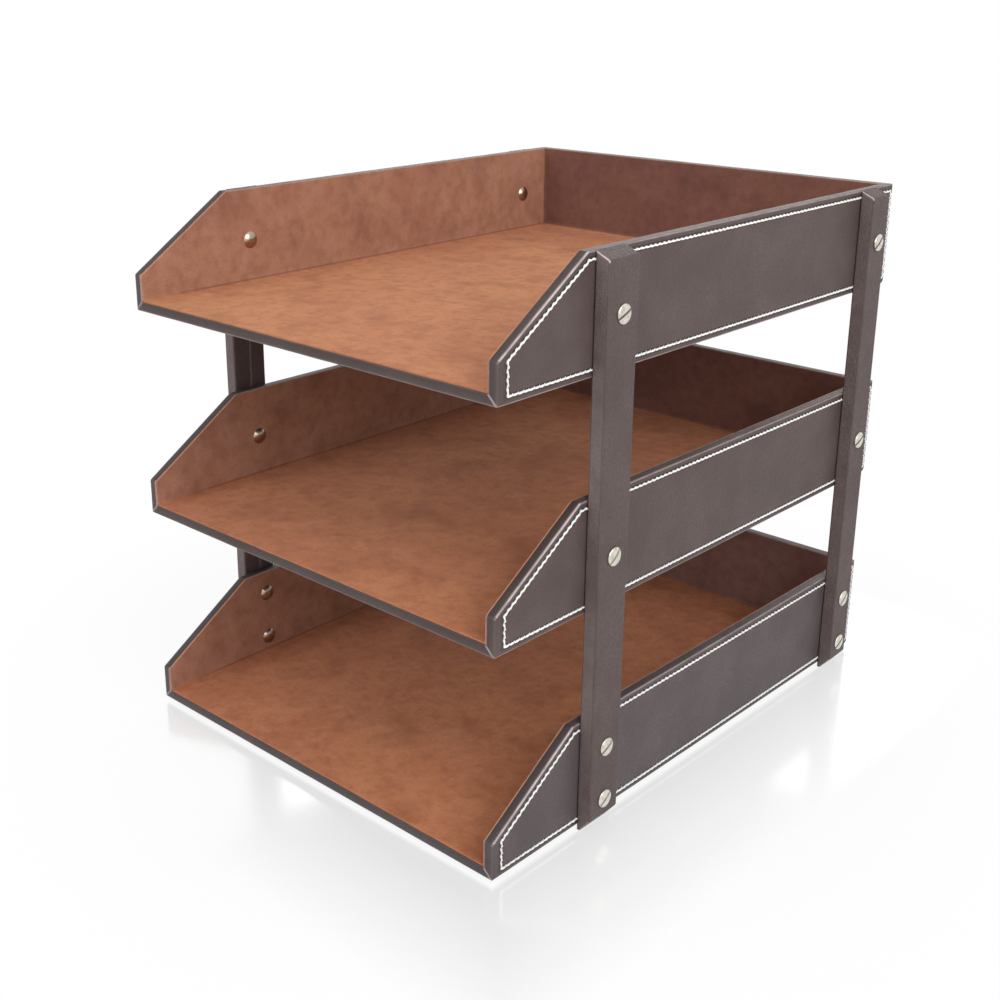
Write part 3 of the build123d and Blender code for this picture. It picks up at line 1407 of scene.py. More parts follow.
class Tray:
    """One tray of the stack, built on its own nodes' places."""

    def __init__(self, tier: Tier, sizes: TraySizes) -> None:
        """Reads the tray's outside sizes from the frame.

        Args:
            tier: Which tray.
            sizes: What the trays share.
        """
        self.tier = tier
        self.sizes = sizes
        low, high = (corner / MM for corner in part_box(f"{tier.value}_left_cover"))
        self.half_width = -low.x
        self.front, self.back = low.y, high.y
        self.base, self.top = low.z, high.z

    def _side(self, side: Side) -> Panel:
        """A side wall, sloping down to the low front.

        Args:
            side: Left or right.

        Returns:
            The panel.
        """
        size = self.sizes
        inset, corner = size.stitch_inset, size.corner_radius
        lip = self.base + size.front_height
        free, fold = EdgeKind.FREE, EdgeKind.FOLD
        edges = [
            Edge((self.back, self.top), free, inset, wear=0.55, inner_wear=0.5, hem_soil=0.3),
            Edge((self.front + size.slope_run, self.top), free, inset, wear=1.0, inner_wear=0.25,
                 corner_radius=corner, corner_wear=0.5, hem_soil=0.8),
            Edge((self.front, lip), free, size.front_stitch_inset, wear=0.15, inner_wear=0.55,
                 corner_radius=corner, corner_wear=0.5, hem_soil=0.55),
            Edge((self.front, self.base), fold, inset, wear=0.85),
            Edge((self.back, self.base), fold, size.rear_stitch_inset, wear=0.4),
        ]
        outer = Vector((side.value * self.half_width, 0, 0))
        seat = Seat(outer, Vector((0, 1, 0)), Vector((0, 0, 1)), Vector((-side.value, 0, 0)))
        return Panel(size, seat, edges, stitched=True, side_wall=True)

    def _back(self) -> Panel:
        """The back wall.

        Returns:
            The panel.
        """
        inset = self.sizes.stitch_inset
        free, fold = EdgeKind.FREE, EdgeKind.FOLD
        edges = [
            Edge((self.half_width, self.top), free, inset, wear=0.4, inner_wear=0.5, hem_soil=0.4),
            Edge((-self.half_width, self.top), fold, inset, wear=0.5),
            Edge((-self.half_width, self.base), fold, inset, wear=0.6),
            Edge((self.half_width, self.base), fold, inset, wear=0.5),
        ]
        seat = Seat(Vector((0, self.back, 0)), Vector((1, 0, 0)), Vector((0, 0, 1)), Vector((0, -1, 0)))
        return Panel(self.sizes, seat, edges, stitched=True, side_wall=False)

    def _floor(self) -> Panel:
        """The floor, with its leather underneath and its hem along the open front.

        Returns:
            The panel.
        """
        inset = self.sizes.stitch_inset
        free, fold = EdgeKind.FREE, EdgeKind.FOLD
        edges = [
            Edge((-self.half_width, self.front), free, inset, wear=0.5, inner_wear=0.15, hem_soil=0.65),
            Edge((self.half_width, self.front), fold, inset, wear=0.5),
            Edge((self.half_width, self.back), fold, inset, wear=0.5),
            Edge((-self.half_width, self.back), fold, inset, wear=0.5),
        ]
        seat = Seat(Vector((0, 0, self.base)), Vector((1, 0, 0)), Vector((0, 1, 0)), Vector((0, 0, 1)))
        return Panel(self.sizes, seat, edges, stitched=False, side_wall=False)

    def build(self, wardrobe: Wardrobe, stitcher: "Stitcher") -> None:
        """Makes and enlists the tray's leather, suede and thread.

        Args:
            wardrobe: The materials.
            stitcher: What sews the thread.
        """
        name = self.tier.value
        fold = RoundFold(self.back, self.base, self.sizes.rear_fold_radius)
        lowest = self.tier is Tier.BOTTOM
        # The bottom tray takes the greyer leather with painted reflection, and the lighter shaded back suede
        leather = wardrobe.low_leather if lowest else wardrobe.panel_leather
        back_suede = wardrobe.low_back_suede if lowest else wardrobe.back_suede
        walls = {"left": self._side(Side.LEFT), "right": self._side(Side.RIGHT), "back": self._back()}
        runs: list[tuple[Vector, Vector, Vector]] = []
        for word, wall in walls.items():
            cover = wall.cover(f"{name}_{word}_leather", leather, fold)
            enlist(cover, "leather", [f"{name}_{word}_cover"])
            # Side walls and back walls take darker suede copies: painted shade
            suede = back_suede if word == "back" else wardrobe.side_suede
            lining = wall.lining(f"{name}_{word}_suede", suede)
            enlist(lining, "suede", [f"{name}_{word}_lining"])
            runs += [(start, stop, -wall.seat.inward) for start, stop in wall.stitch_runs()]
        floor = self._floor()
        base = floor.cover(f"{name}_base_leather", leather, fold)
        enlist(base, "leather", [f"{name}_base_cover"])
        # The lower floors take the darker suede copy: painted shade
        suede = wardrobe.suede if self.tier is Tier.TOP else wardrobe.low_suede
        enlist(floor.lining(f"{name}_floor_suede", suede), "suede", [f"{name}_floor_lining"])
        thread = stitcher.sew(f"{name}_thread", runs, wardrobe.thread)
        enlist(thread, "thread", [f"{name}_stitching"])


# Geometry Nodes: thread and fasteners


class NodeTool:
    """A Geometry Nodes tree with named inputs, run once on a mesh and turned into a plain one."""

    KINDS = {float: "NodeSocketFloat", int: "NodeSocketInt"}

    def __init__(self, name: str, numbers: dict[str, float | int], others: dict[str, str]) -> None:
        """Starts the tree.

        Args:
            name: The tree's name.
            numbers: Its number inputs and their values.
            others: Its other inputs and their socket types.
        """
        self.tree = bpy.data.node_groups.new(name, "GeometryNodeTree")
        face = self.tree.interface
        face.new_socket(name="Geometry", in_out="INPUT", socket_type="NodeSocketGeometry")
        for key, value in numbers.items():
            socket = face.new_socket(name=key, in_out="INPUT", socket_type=self.KINDS[type(value)])
            socket.default_value = value
        for key, kind in others.items():
            face.new_socket(name=key, in_out="INPUT", socket_type=kind)
        face.new_socket(name="Geometry", in_out="OUTPUT", socket_type="NodeSocketGeometry")
        self.bench = Bench(self.tree)
        self.given = self.bench.node("NodeGroupInput").outputs
        self.result = self.bench.node("NodeGroupOutput")

    def vector(self, name: str) -> NodeSocket:
        """A direction stored on the points."""
        kind = "GeometryNodeInputNamedAttribute"
        return self.bench.node(kind, {"Name": name}, data_type="FLOAT_VECTOR").outputs["Attribute"]

    def aligned(self, way: str, axis: str, turned: Any = None, pivot: str = "AUTO") -> NodeSocket:
        """The turn that points an axis along a direction stored on the points.

        Args:
            way: The direction's name.
            axis: The axis that points along it.
            turned: A turn that comes before, if any.
            pivot: The axis that it may turn about.

        Returns:
            The turn.
        """
        inputs = {"Vector": self.vector(way)}
        if turned is not None:
            inputs["Rotation"] = turned
        kind = "FunctionNodeAlignRotationToVector"
        return self.bench.node(kind, inputs, axis=axis, pivot_axis=pivot).outputs[0]

    def scatter(self, points: Any, shape: Any, rotation: Any) -> None:
        """Sets a shape on every point, and ends the tree in plain geometry of one material.

        Args:
            points: The points.
            shape: What is set on them.
            rotation: How each one is turned.
        """
        bench = self.bench
        placed = {"Points": points, "Instance": shape, "Rotation": rotation}
        copies = bench.node("GeometryNodeInstanceOnPoints", placed)
        real = bench.node("GeometryNodeRealizeInstances", {"Geometry": copies.outputs[0]})
        dress = {"Geometry": real.outputs[0], "Material": self.given["Material"]}
        finished = bench.node("GeometryNodeSetMaterial", dress)
        bench.feed(self.result, {"Geometry": finished.outputs[0]})

    def run(self, name: str, mesh: Mesh, values: dict[str, Any]) -> Mesh:
        """Runs the tree on a mesh.

        Args:
            name: The name of what it makes.
            mesh: What it works on.
            values: Inputs that differ from the tree's own values, by name.

        Returns:
            The plain mesh that it makes.
        """
        carrier = linked(name + "_carrier", mesh)
        modifier = carrier.modifiers.new(name, "NODES")
        modifier.node_group = self.tree
        inputs = [item for item in self.tree.interface.items_tree if item.in_out == "INPUT"]
        sockets = {item.name: item.identifier for item in inputs}
        for key, value in values.items():
            modifier[sockets[key]] = value
        made = baked(carrier)
        carrier.modifiers.remove(modifier)
        bpy.data.objects.remove(carrier)
        made.name = name
        return made


def marked_mesh(
    name: str,
    points: Sequence[Vector],
    edges: Sequence[tuple[int, int]],
    vectors: dict[str, Sequence[Vector]],
) -> Mesh:
    """A mesh of bare points and edges, with directions stored on the points.

    Args:
        name: The mesh's name.
        points: Its points, in millimetres.
        edges: Its edges.
        vectors: Each direction's name and its value at every point.

    Returns:
        The mesh, in metres.
    """
    mesh = bpy.data.meshes.new(name)
    mesh.from_pydata([point * MM for point in points], list(edges), [])
    for key, values in vectors.items():
        layer = mesh.attributes.new(key, "FLOAT_VECTOR", "POINT")
        layer.data.foreach_set("vector", [value for vector in values for value in vector])
    return mesh


@dataclass
class Stitcher:
    """Sews slanted two-ply stitches along straight runs."""

    pitch: float = 3.45
    length_share: float = 1.1
    ply_radius: float = 0.34
    ply_reach: float = 0.23
    slant: float = math.radians(9)
    slant_spread: float = math.radians(3)
    rise: float = 0.12
    arch: float = 0.36
    seed: int = 7

    PLY_STEPS = 7
    PLY_TURNS = 0.75
    PLY_SIDES = 5
    ARCH_POWER = 3.0

    def __post_init__(self) -> None:
        """Builds the tree."""
        numbers = {
            "Pitch": self.pitch * MM,
            "Stitch length": self.pitch * self.length_share * MM,
            "Ply radius": self.ply_radius * MM,
            "Ply reach": self.ply_reach * MM,
            "Slant": self.slant,
            "Slant spread": self.slant_spread,
            "Rise": self.rise * MM,
            "Arch": self.arch * MM,
            "Seed": self.seed,
        }
        self.tool = NodeTool("Stitch line", numbers, {"Material": "NodeSocketMaterial"})
        self.tool.scatter(self._holes(), self._stitch(), self._turn())

    def _holes(self) -> NodeSocket:
        """A point in the middle of every stitch, the runs divided evenly.

        Returns:
            The points.
        """
        bench, given = self.tool.bench, self.tool.given
        curve = bench.node("GeometryNodeMeshToCurve", {"Mesh": given["Geometry"]}).outputs[0]
        length = bench.node("GeometryNodeSplineLength").outputs["Length"]
        stitches = bench.math("ROUND", bench.math("DIVIDE", length, given["Pitch"]))
        count = bench.math("ADD", stitches, 1.0)
        even = bench.node("GeometryNodeResampleCurve", {"Curve": curve, "Count": count}, mode="COUNT")
        line = bench.node("GeometryNodeCurveToMesh", {"Curve": even.outputs[0]})
        points = bench.node("GeometryNodeMeshToPoints", {"Mesh": line.outputs[0]}, mode="EDGES")
        return points.outputs[0]

    def _stitch(self) -> NodeSocket:
        """One stitch along X: two plies twisted together, arched so that their ends dive into the leather.

        Returns:
            The stitch.
        """
        bench, given = self.tool.bench, self.tool.given
        reach = given["Ply reach"]
        spiral = {"Resolution": self.PLY_STEPS, "Rotations": self.PLY_TURNS, "Start Radius": reach,
                  "End Radius": reach, "Height": given["Stitch length"]}
        ply = bench.node("GeometryNodeCurveSpiral", spiral).outputs[0]
        other = bench.node("GeometryNodeTransform", {"Geometry": ply, "Rotation": (0.0, 0.0, math.pi)})
        both = bench.node("GeometryNodeJoinGeometry")
        for curve in (ply, other.outputs[0]):
            bench.feed(both, {0: curve})
        circle = {"Resolution": self.PLY_SIDES, "Radius": given["Ply radius"]}
        profile = bench.node("GeometryNodeCurvePrimitiveCircle", circle).outputs[0]
        sweep = {"Curve": both.outputs[0], "Profile Curve": profile, "Fill Caps": True}
        body = bench.node("GeometryNodeCurveToMesh", sweep).outputs[0]
        half = bench.math("MULTIPLY", given["Stitch length"], 0.5)
        back = bench.math("MULTIPLY", half, -1.0)
        middle = bench.node("ShaderNodeCombineXYZ", {"X": back, "Z": given["Rise"]}).outputs[0]
        lie = {"Geometry": body, "Translation": middle, "Rotation": (0.0, math.pi / 2, 0.0)}
        laid = bench.node("GeometryNodeTransform", lie).outputs[0]
        where = bench.node("ShaderNodeSeparateXYZ", {0: bench.node("GeometryNodeInputPosition").outputs[0]})
        share = bench.math("ABSOLUTE", bench.math("DIVIDE", where.outputs["X"], half))
        fall = bench.math("MULTIPLY", bench.math("POWER", share, self.ARCH_POWER), given["Arch"])
        drop = bench.node("ShaderNodeCombineXYZ", {"Z": bench.math("MULTIPLY", fall, -1.0)}).outputs[0]
        return bench.node("GeometryNodeSetPosition", {"Geometry": laid, "Offset": drop}).outputs[0]

    def _turn(self) -> NodeSocket:
        """A stitch's turn: along its run, upright on its panel, and slanted a little unevenly.

        Returns:
            The turn.
        """
        bench, given = self.tool.bench, self.tool.given
        upright = self.tool.aligned("outward", "Z", self.tool.aligned("along", "X"), "X")
        most = given["Slant spread"]
        limits = {"Seed": given["Seed"], 2: bench.math("MULTIPLY", most, -1.0), 3: most}
        spread = bench.node("FunctionNodeRandomValue", limits, data_type="FLOAT").outputs[1]
        slant = {"Axis": (0.0, 0.0, 1.0), "Angle": bench.math("ADD", given["Slant"], spread)}
        turn = bench.node("FunctionNodeAxisAngleToRotation", slant).outputs[0]
        both = {"Rotation": upright, "Rotate By": turn}
        return bench.node("FunctionNodeRotateRotation", both, rotation_space="LOCAL").outputs[0]

    def sew(
        self, name: str, runs: Sequence[tuple[Vector, Vector, Vector]], material: Material
    ) -> Object:
        """Sews along runs.

        Args:
            name: The piece's name.
            runs: The start and end of each run, and the way that its panel faces.
            material: The thread.

        Returns:
            The thread's object.
        """
        points = [point for start, stop, _ in runs for point in (start, stop)]
        along = [(stop - start).normalized() for start, stop, _ in runs for _ in range(2)]
        outward = [way for _, _, way in runs for _ in range(2)]
        edges = [(2 * i, 2 * i + 1) for i in range(len(runs))]
        seam = marked_mesh(name + "_seam", points, edges, {"along": along, "outward": outward})
        mesh = self.tool.run(name, seam, {"Material": material})
        return dressed(name, mesh, material)


class Fastener:
    """A round metal fastener, turned from a profile and set at every screw place."""

    SIDES = 48
    # Painted shade: how close to the slot's floor or the rim's foot a point lies, and how dark the rim is
    # painted
    SOIL_REACH = 0.02
    RIM_SOIL = 0.7

    def __init__(self, name: str) -> None:
        """Builds the tree that sets the fasteners.

        Args:
            name: The name of the set.
        """
        self.name = name
        others = {"Fastener": "NodeSocketObject", "Material": "NodeSocketMaterial"}
        self.tool = NodeTool(f"Set of {name}", {}, others)
        bench = self.tool.bench
        shape = bench.node("GeometryNodeObjectInfo", {"Object": self.tool.given["Fastener"]})
        turned = self.tool.aligned("slot_way", "X", self.tool.aligned("outward", "Z"), "Z")
        spots = {"Mesh": self.tool.given["Geometry"]}
        points = bench.node("GeometryNodeMeshToPoints", spots, mode="VERTICES").outputs[0]
        self.tool.scatter(points, shape.outputs["Geometry"], turned)

    def turned(self, profile: Sequence[Point2]) -> Object:
        """Turns a profile about Z.

        Args:
            profile: Radius and height of each step, from the top of the axis to its bottom.

        Returns:
            A closed object at the origin.
        """
        shape = bmesh.new()
        rings = []
        for radius, height in profile:
            count = self.SIDES if radius else 1
            angles = [2 * math.pi * k / count for k in range(count)]
            places = [Vector((radius * math.cos(a), radius * math.sin(a), height)) * MM for a in angles]
            rings.append([shape.verts.new(place) for place in places])
        for upper, lower in zip(rings, rings[1:]):
            for k in range(self.SIDES):
                n = (k + 1) % self.SIDES
                steps = ((upper, k), (lower, k), (lower, n), (upper, n))
                corners = [ring[step % len(ring)] for ring, step in steps]
                shape.faces.new(list(dict.fromkeys(corners)))
        bmesh.ops.recalc_face_normals(shape, faces=shape.faces)
        mesh = bpy.data.meshes.new(self.name)
        shape.to_mesh(mesh)
        shape.free()
        return linked(self.name + "_pattern", mesh)

    @staticmethod
    def slotted(pattern: Object, width: float, bottom: float, reach: float) -> None:
        """Cuts a straight slot along X across the top of a pattern.

        Args:
            pattern: The turned head.
            width: The slot's width.
            bottom: The height of its floor.
            reach: How far it runs past the middle, and up.
        """
        box = bmesh.new()
        bmesh.ops.create_cube(box, size=1.0)
        for vertex in box.verts:
            x, y, z = vertex.co
            vertex.co = Vector((2 * reach * x, width * y, bottom + reach * (z + 0.5))) * MM
        mesh = bpy.data.meshes.new("slot_cutter")
        box.to_mesh(mesh)
        box.free()
        cutter = linked("slot_cutter", mesh)
        modifier = pattern.modifiers.new("slot", "BOOLEAN")
        modifier.operation, modifier.solver, modifier.object = "DIFFERENCE", "EXACT", cutter
        cut = baked(pattern)
        pattern.modifiers.remove(modifier)
        pattern.data = cut
        bpy.data.objects.remove(cutter)

    def soiled(self, pattern: Object, floor: float, reach: float) -> None:
        """Paints shade into a slot and under a head's rim.

        Args:
            pattern: The fastener.
            floor: The height of the slot's floor.
            reach: The radius of the head.
        """
        mesh = pattern.data
        layer = mesh.attributes.new("soil", "FLOAT", "POINT")
        for vertex, mark in zip(mesh.vertices, layer.data):
            height, away = vertex.co.z / MM, vertex.co.xy.length / MM
            in_slot = abs(height - floor) < self.SOIL_REACH and away < reach
            under_rim = abs(height) < self.SOIL_REACH
            mark.value = 1.0 if in_slot else self.RIM_SOIL if under_rim else 0.0

    def set(
        self,
        pattern: Object,
        seats: Sequence[tuple[Vector, Vector, Vector]],
        material: Material,
    ) -> Object:
        """Sets the pattern at every seat.

        Args:
            pattern: One fastener, its seat at the origin and its head up Z.
            seats: Each place, the way that its head faces and the way that its slot points.
            material: The metal.

        Returns:
            All the fasteners as one object.
        """
        places, outward, slot_way = zip(*seats)
        vectors = {"outward": outward, "slot_way": slot_way}
        spots = marked_mesh(self.name + "_spots", places, [], vectors)
        mesh = self.tool.run(self.name, spots, {"Fastener": pattern, "Material": material})
        bpy.data.objects.remove(pattern)
        return dressed(self.name, mesh, material)


# Posts and their screws


@dataclass(frozen=True)
class PostSizes:
    """Sizes that the four posts and their fasteners share."""

    foot_flat: float = 1.6
    foot_bevel_height: float = 8.0
    top_bevel_height: float = 3.6
    wrap: float = 0.9
    edge_radius: float = 1.0
    corner_radius: float = 1.3
    foot_corner_radius: float = 0.5
    seam_width: float = 0.5
    seam_depth: float = 0.55
    screw_pair_spacing: float = 29.0
    wall_thickness: float = 5.9
    head_radius: float = 4.7
    head_height: float = 1.3
    head_crown: float = 0.25
    head_rounding: float = 0.5
    slot_width: float = 1.3
    slot_depth: float = 0.65
    shank_radius: float = 1.8
    shank_length: float = 9.5
    dome_height: float = 1.9
    barrel_radius: float = 2.5
    barrel_length: float = 12.7
    barrel_floor: float = 1.5
    bore_radius: float = 1.9


class Post:
    """One leather-wrapped post, bevelled at its head and above its narrow foot."""

    ROUNDING = (15, 30, 45, 60, 75, 90)
    WAVE = Wave(0.06, 16.0)
    LENGTH_STEP = 10.0
    END_MARKS = (0.4, 1.2)
    # Rings that keep the faces flat beside their rounded edges
    FACE_SUPPORT, SIDE_SUPPORT = 0.05, 0.6
    # A painted highlight: the front faces are painted paler, as though lit as brightly as the outer faces
    FRONT_RUB = 0.2
    # The seam: how far its lips draw in, how worn they are, and where they start to, in seam widths
    SEAM_LIP = 0.08
    SEAM_WEAR = 0.3
    SEAM_EASE = 3

    def __init__(self, row: PostRow, side: Side, sizes: PostSizes) -> None:
        """Reads the post's place from the frame.

        Args:
            row: Front or rear.
            side: Left or right.
            sizes: What the posts share.
        """
        self.name = f"{row.value}_{side.word}_post"
        self.side = side
        self.sizes = sizes
        low, high = (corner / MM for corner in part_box(f"{self.name}_wrap"))
        self.front, self.width = low.y, high.y - low.y
        self.middle = (low.y + high.y) / 2
        self.thickness = high.x - low.x
        self.inner = min(abs(low.x), abs(high.x))
        self.height = high.z

    def _outline(self) -> Outline:
        """The post's section from its wall outward, seen from the front.

        Returns:
            The outline.
        """
        size = self.sizes
        free = EdgeKind.FREE
        shoulder = self.height - size.top_bevel_height
        edges = [
            Edge((0.0, 0.0), free, wear=0.4),
            Edge((size.foot_flat, 0.0), free, wear=0.4, corner_radius=size.foot_corner_radius),
            Edge((self.thickness, size.foot_bevel_height), free, wear=0.12,
                 corner_radius=size.corner_radius, corner_wear=0.25),
            Edge((self.thickness, shoulder), free, wear=1.0,
                 corner_radius=size.corner_radius, corner_wear=0.5),
            Edge((0.0, self.height), EdgeKind.FOLD, wear=0.1),
        ]
        return Outline(edges, self.LENGTH_STEP, self.END_MARKS)

    def _stations(self) -> list[Station]:
        """Rings from the front face, round its edges and along the sides, to the rear face.

        Returns:
            The rings, in order.
        """
        size = self.sizes
        radius = size.edge_radius
        face = (radius + self.FACE_SUPPORT, radius)
        # The front face gets the painted highlight
        rings = [Station(inset, inset, rubbed_flat=self.FRONT_RUB) for inset in face]
        for angle in self.ROUNDING:
            inset, depth = rounding(radius, angle)
            # Pale edge paint peaking mid-rounding: rubbing, and a painted highlight
            worn = math.sin(math.radians(2 * angle)) ** 2
            rings.append(Station(inset, inset, depth, wear=worn))
        half, slit = self.width / 2, size.seam_width
        rings += [
            Station(depth=radius + self.SIDE_SUPPORT),
            Station(depth=half - self.SEAM_EASE * slit),
            Station(fold=self.SEAM_LIP, depth=half - slit, fold_wear=self.SEAM_WEAR),
            Station(fold=size.seam_depth, depth=half),
        ]
        mirrored = [replace(ring, depth=self.width - ring.depth) for ring in reversed(rings[:-1])]
        return rings + mirrored

    def build(self, material: Material) -> None:
        """Makes and enlists the post's wrap: its leather outside, and the hollow for its core.

        Args:
            material: The leather.
        """
        size = self.sizes
        across = Vector((self.side.value, 0, 0))
        origin = Vector((self.side.value * self.inner, self.front, 0))
        seat = Seat(origin, across, Vector((0, 0, 1)), Vector((0, 1, 0)))
        shell = Shell()
        shell.skin(self._outline(), seat, -seat.inward, self._stations())
        hollow = [Station(size.wrap, size.wrap, depth) for depth in (size.wrap, self.width - size.wrap)]
        shell.skin(self._outline(), seat, seat.inward, hollow)
        enlist(shell.piece(f"{self.name}_leather", material, self.WAVE), "leather", [f"{self.name}_wrap"])


class Hardware:
    """The binding screws outside the posts and their domed barrels inside the trays."""

    # How far the slots are turned from level, in degrees, screw by screw
    SLOT_TURNS = (35, 28, 40, 23, 31, 44, 26, 38)
    SLOT_OVERRUN = 1.5
    CROWN_STEPS, RIM_STEPS, DOME_STEPS = 3, 6, 10

    def __init__(self, sizes: PostSizes) -> None:
        """Takes the posts' sizes."""
        self.sizes = sizes

    def _heights(self) -> list[float]:
        """Screw heights, from the desk up: two in the lowest tray and one in each of the others.

        Returns:
            The heights.
        """
        heights = []
        for tier in Tier:
            low, high = (corner.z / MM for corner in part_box(f"{tier.value}_left_cover"))
            spread = self.sizes.screw_pair_spacing / 2 if tier is Tier.BOTTOM else 0.0
            middle = (low + high) / 2
            heights += sorted({middle - spread, middle + spread})
        return heights

    def seats(self, posts: Sequence[Post], inside: bool) -> list[tuple[Vector, Vector, Vector]]:
        """Where the heads sit.

        Args:
            posts: The posts.
            inside: Whether the heads are those inside the trays.

        Returns:
            Each place, the way that it faces and the way that its slot points.
        """
        found = []
        for post in posts:
            reach = post.inner - self.sizes.wall_thickness if inside else post.inner + post.thickness
            way = -post.side.value if inside else post.side.value
            for height in self._heights():
                turn = math.radians(self.SLOT_TURNS[len(found) % len(self.SLOT_TURNS)])
                place = Vector((post.side.value * reach, post.middle, height))
                slot = Vector((0, math.cos(turn), math.sin(turn)))
                found.append((place, Vector((way, 0, 0)), slot))
        return found

    def _screw_profile(self) -> list[Point2]:
        """Half the section of a screw: a low crowned head with a rounded rim, and its shank.

        Returns:
            Radius and height of each step, from the top of the axis to its bottom.
        """
        size = self.sizes
        flat = size.head_radius - size.head_rounding
        rim = size.head_height - size.head_crown
        shares = [k / self.CROWN_STEPS for k in range(self.CROWN_STEPS + 1)]
        crown = [(flat * share, size.head_height - size.head_crown * share**2) for share in shares]
        edge = []
        for k in range(1, self.RIM_STEPS + 1):
            inset, drop = rounding(size.head_rounding, 90 * k / self.RIM_STEPS)
            edge.append((size.head_radius - inset, rim - drop))
        end = -size.shank_length
        shank = [(size.head_radius, 0.0), (size.shank_radius, 0.0), (size.shank_radius, end), (0.0, end)]
        return crown + edge + shank

    def _barrel_profile(self) -> list[Point2]:
        """Half the section of a barrel: a shallow dome over a bored sleeve.

        Returns:
            Radius and height of each step, from the top of the axis to its bottom.
        """
        size = self.sizes
        ball = (size.head_radius**2 + size.dome_height**2) / (2 * size.dome_height)
        turns = [math.pi / 2 * k / self.DOME_STEPS for k in range(self.DOME_STEPS + 1)]
        radii = [size.head_radius * math.sin(turn) for turn in turns]
        dome = [(r, size.dome_height - ball + math.sqrt(ball**2 - r**2)) for r in radii]
        sleeve = [(size.barrel_radius, 0.0), (size.barrel_radius, -size.barrel_length),
                  (size.bore_radius, -size.barrel_length), (size.bore_radius, -size.barrel_floor)]
        return dome + sleeve + [(0.0, -size.barrel_floor)]

    def build(self, posts: Sequence[Post], wardrobe: Wardrobe) -> None:
        """Makes and enlists the screws and the barrels.

        Args:
            posts: The posts.
            wardrobe: The materials.
        """
        size = self.sizes
        screws = Fastener("nickel_screws")
        pattern = screws.turned(self._screw_profile())
        slot_floor = size.head_height - size.slot_depth
        screws.slotted(pattern, size.slot_width, slot_floor, size.head_radius * self.SLOT_OVERRUN)
        # Painted shade in the slots and under the rims
        screws.soiled(pattern, slot_floor, size.head_radius)
        outside = screws.set(pattern, self.seats(posts, inside=False), wardrobe.nickel)
        enlist(outside, "nickel", ["binding_screws"])
        barrels = Fastener("nickel_barrels")
        pattern = barrels.turned(self._barrel_profile())
        # Painted shade under the dome's rim
        barrels.soiled(pattern, floor=0.0, reach=0.0)
        # The barrels take the browner nickel: a painted reflection of the suede
        inside = barrels.set(pattern, self.seats(posts, inside=True), wardrobe.dull_nickel)
        enlist(inside, "nickel", ["binding_barrels"])


def dress_inner_boards(material: Material) -> None:
    """Gives the boards of the trays and the cores of the posts their fibreboard.

    Args:
        material: The fibreboard.
    """
    for name, node in sorted(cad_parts.items()):
        if name.endswith(("_board", "_core")):
            node.data.materials.clear()
            node.data.materials.append(material)
            log.info("%s: fibreboard", name)


# Studio


@dataclass(frozen=True)
class Softbox:
    """A square soft light and where it stands, in metres."""

    name: str
    place: tuple[float, float, float]
    size: float
    power: float


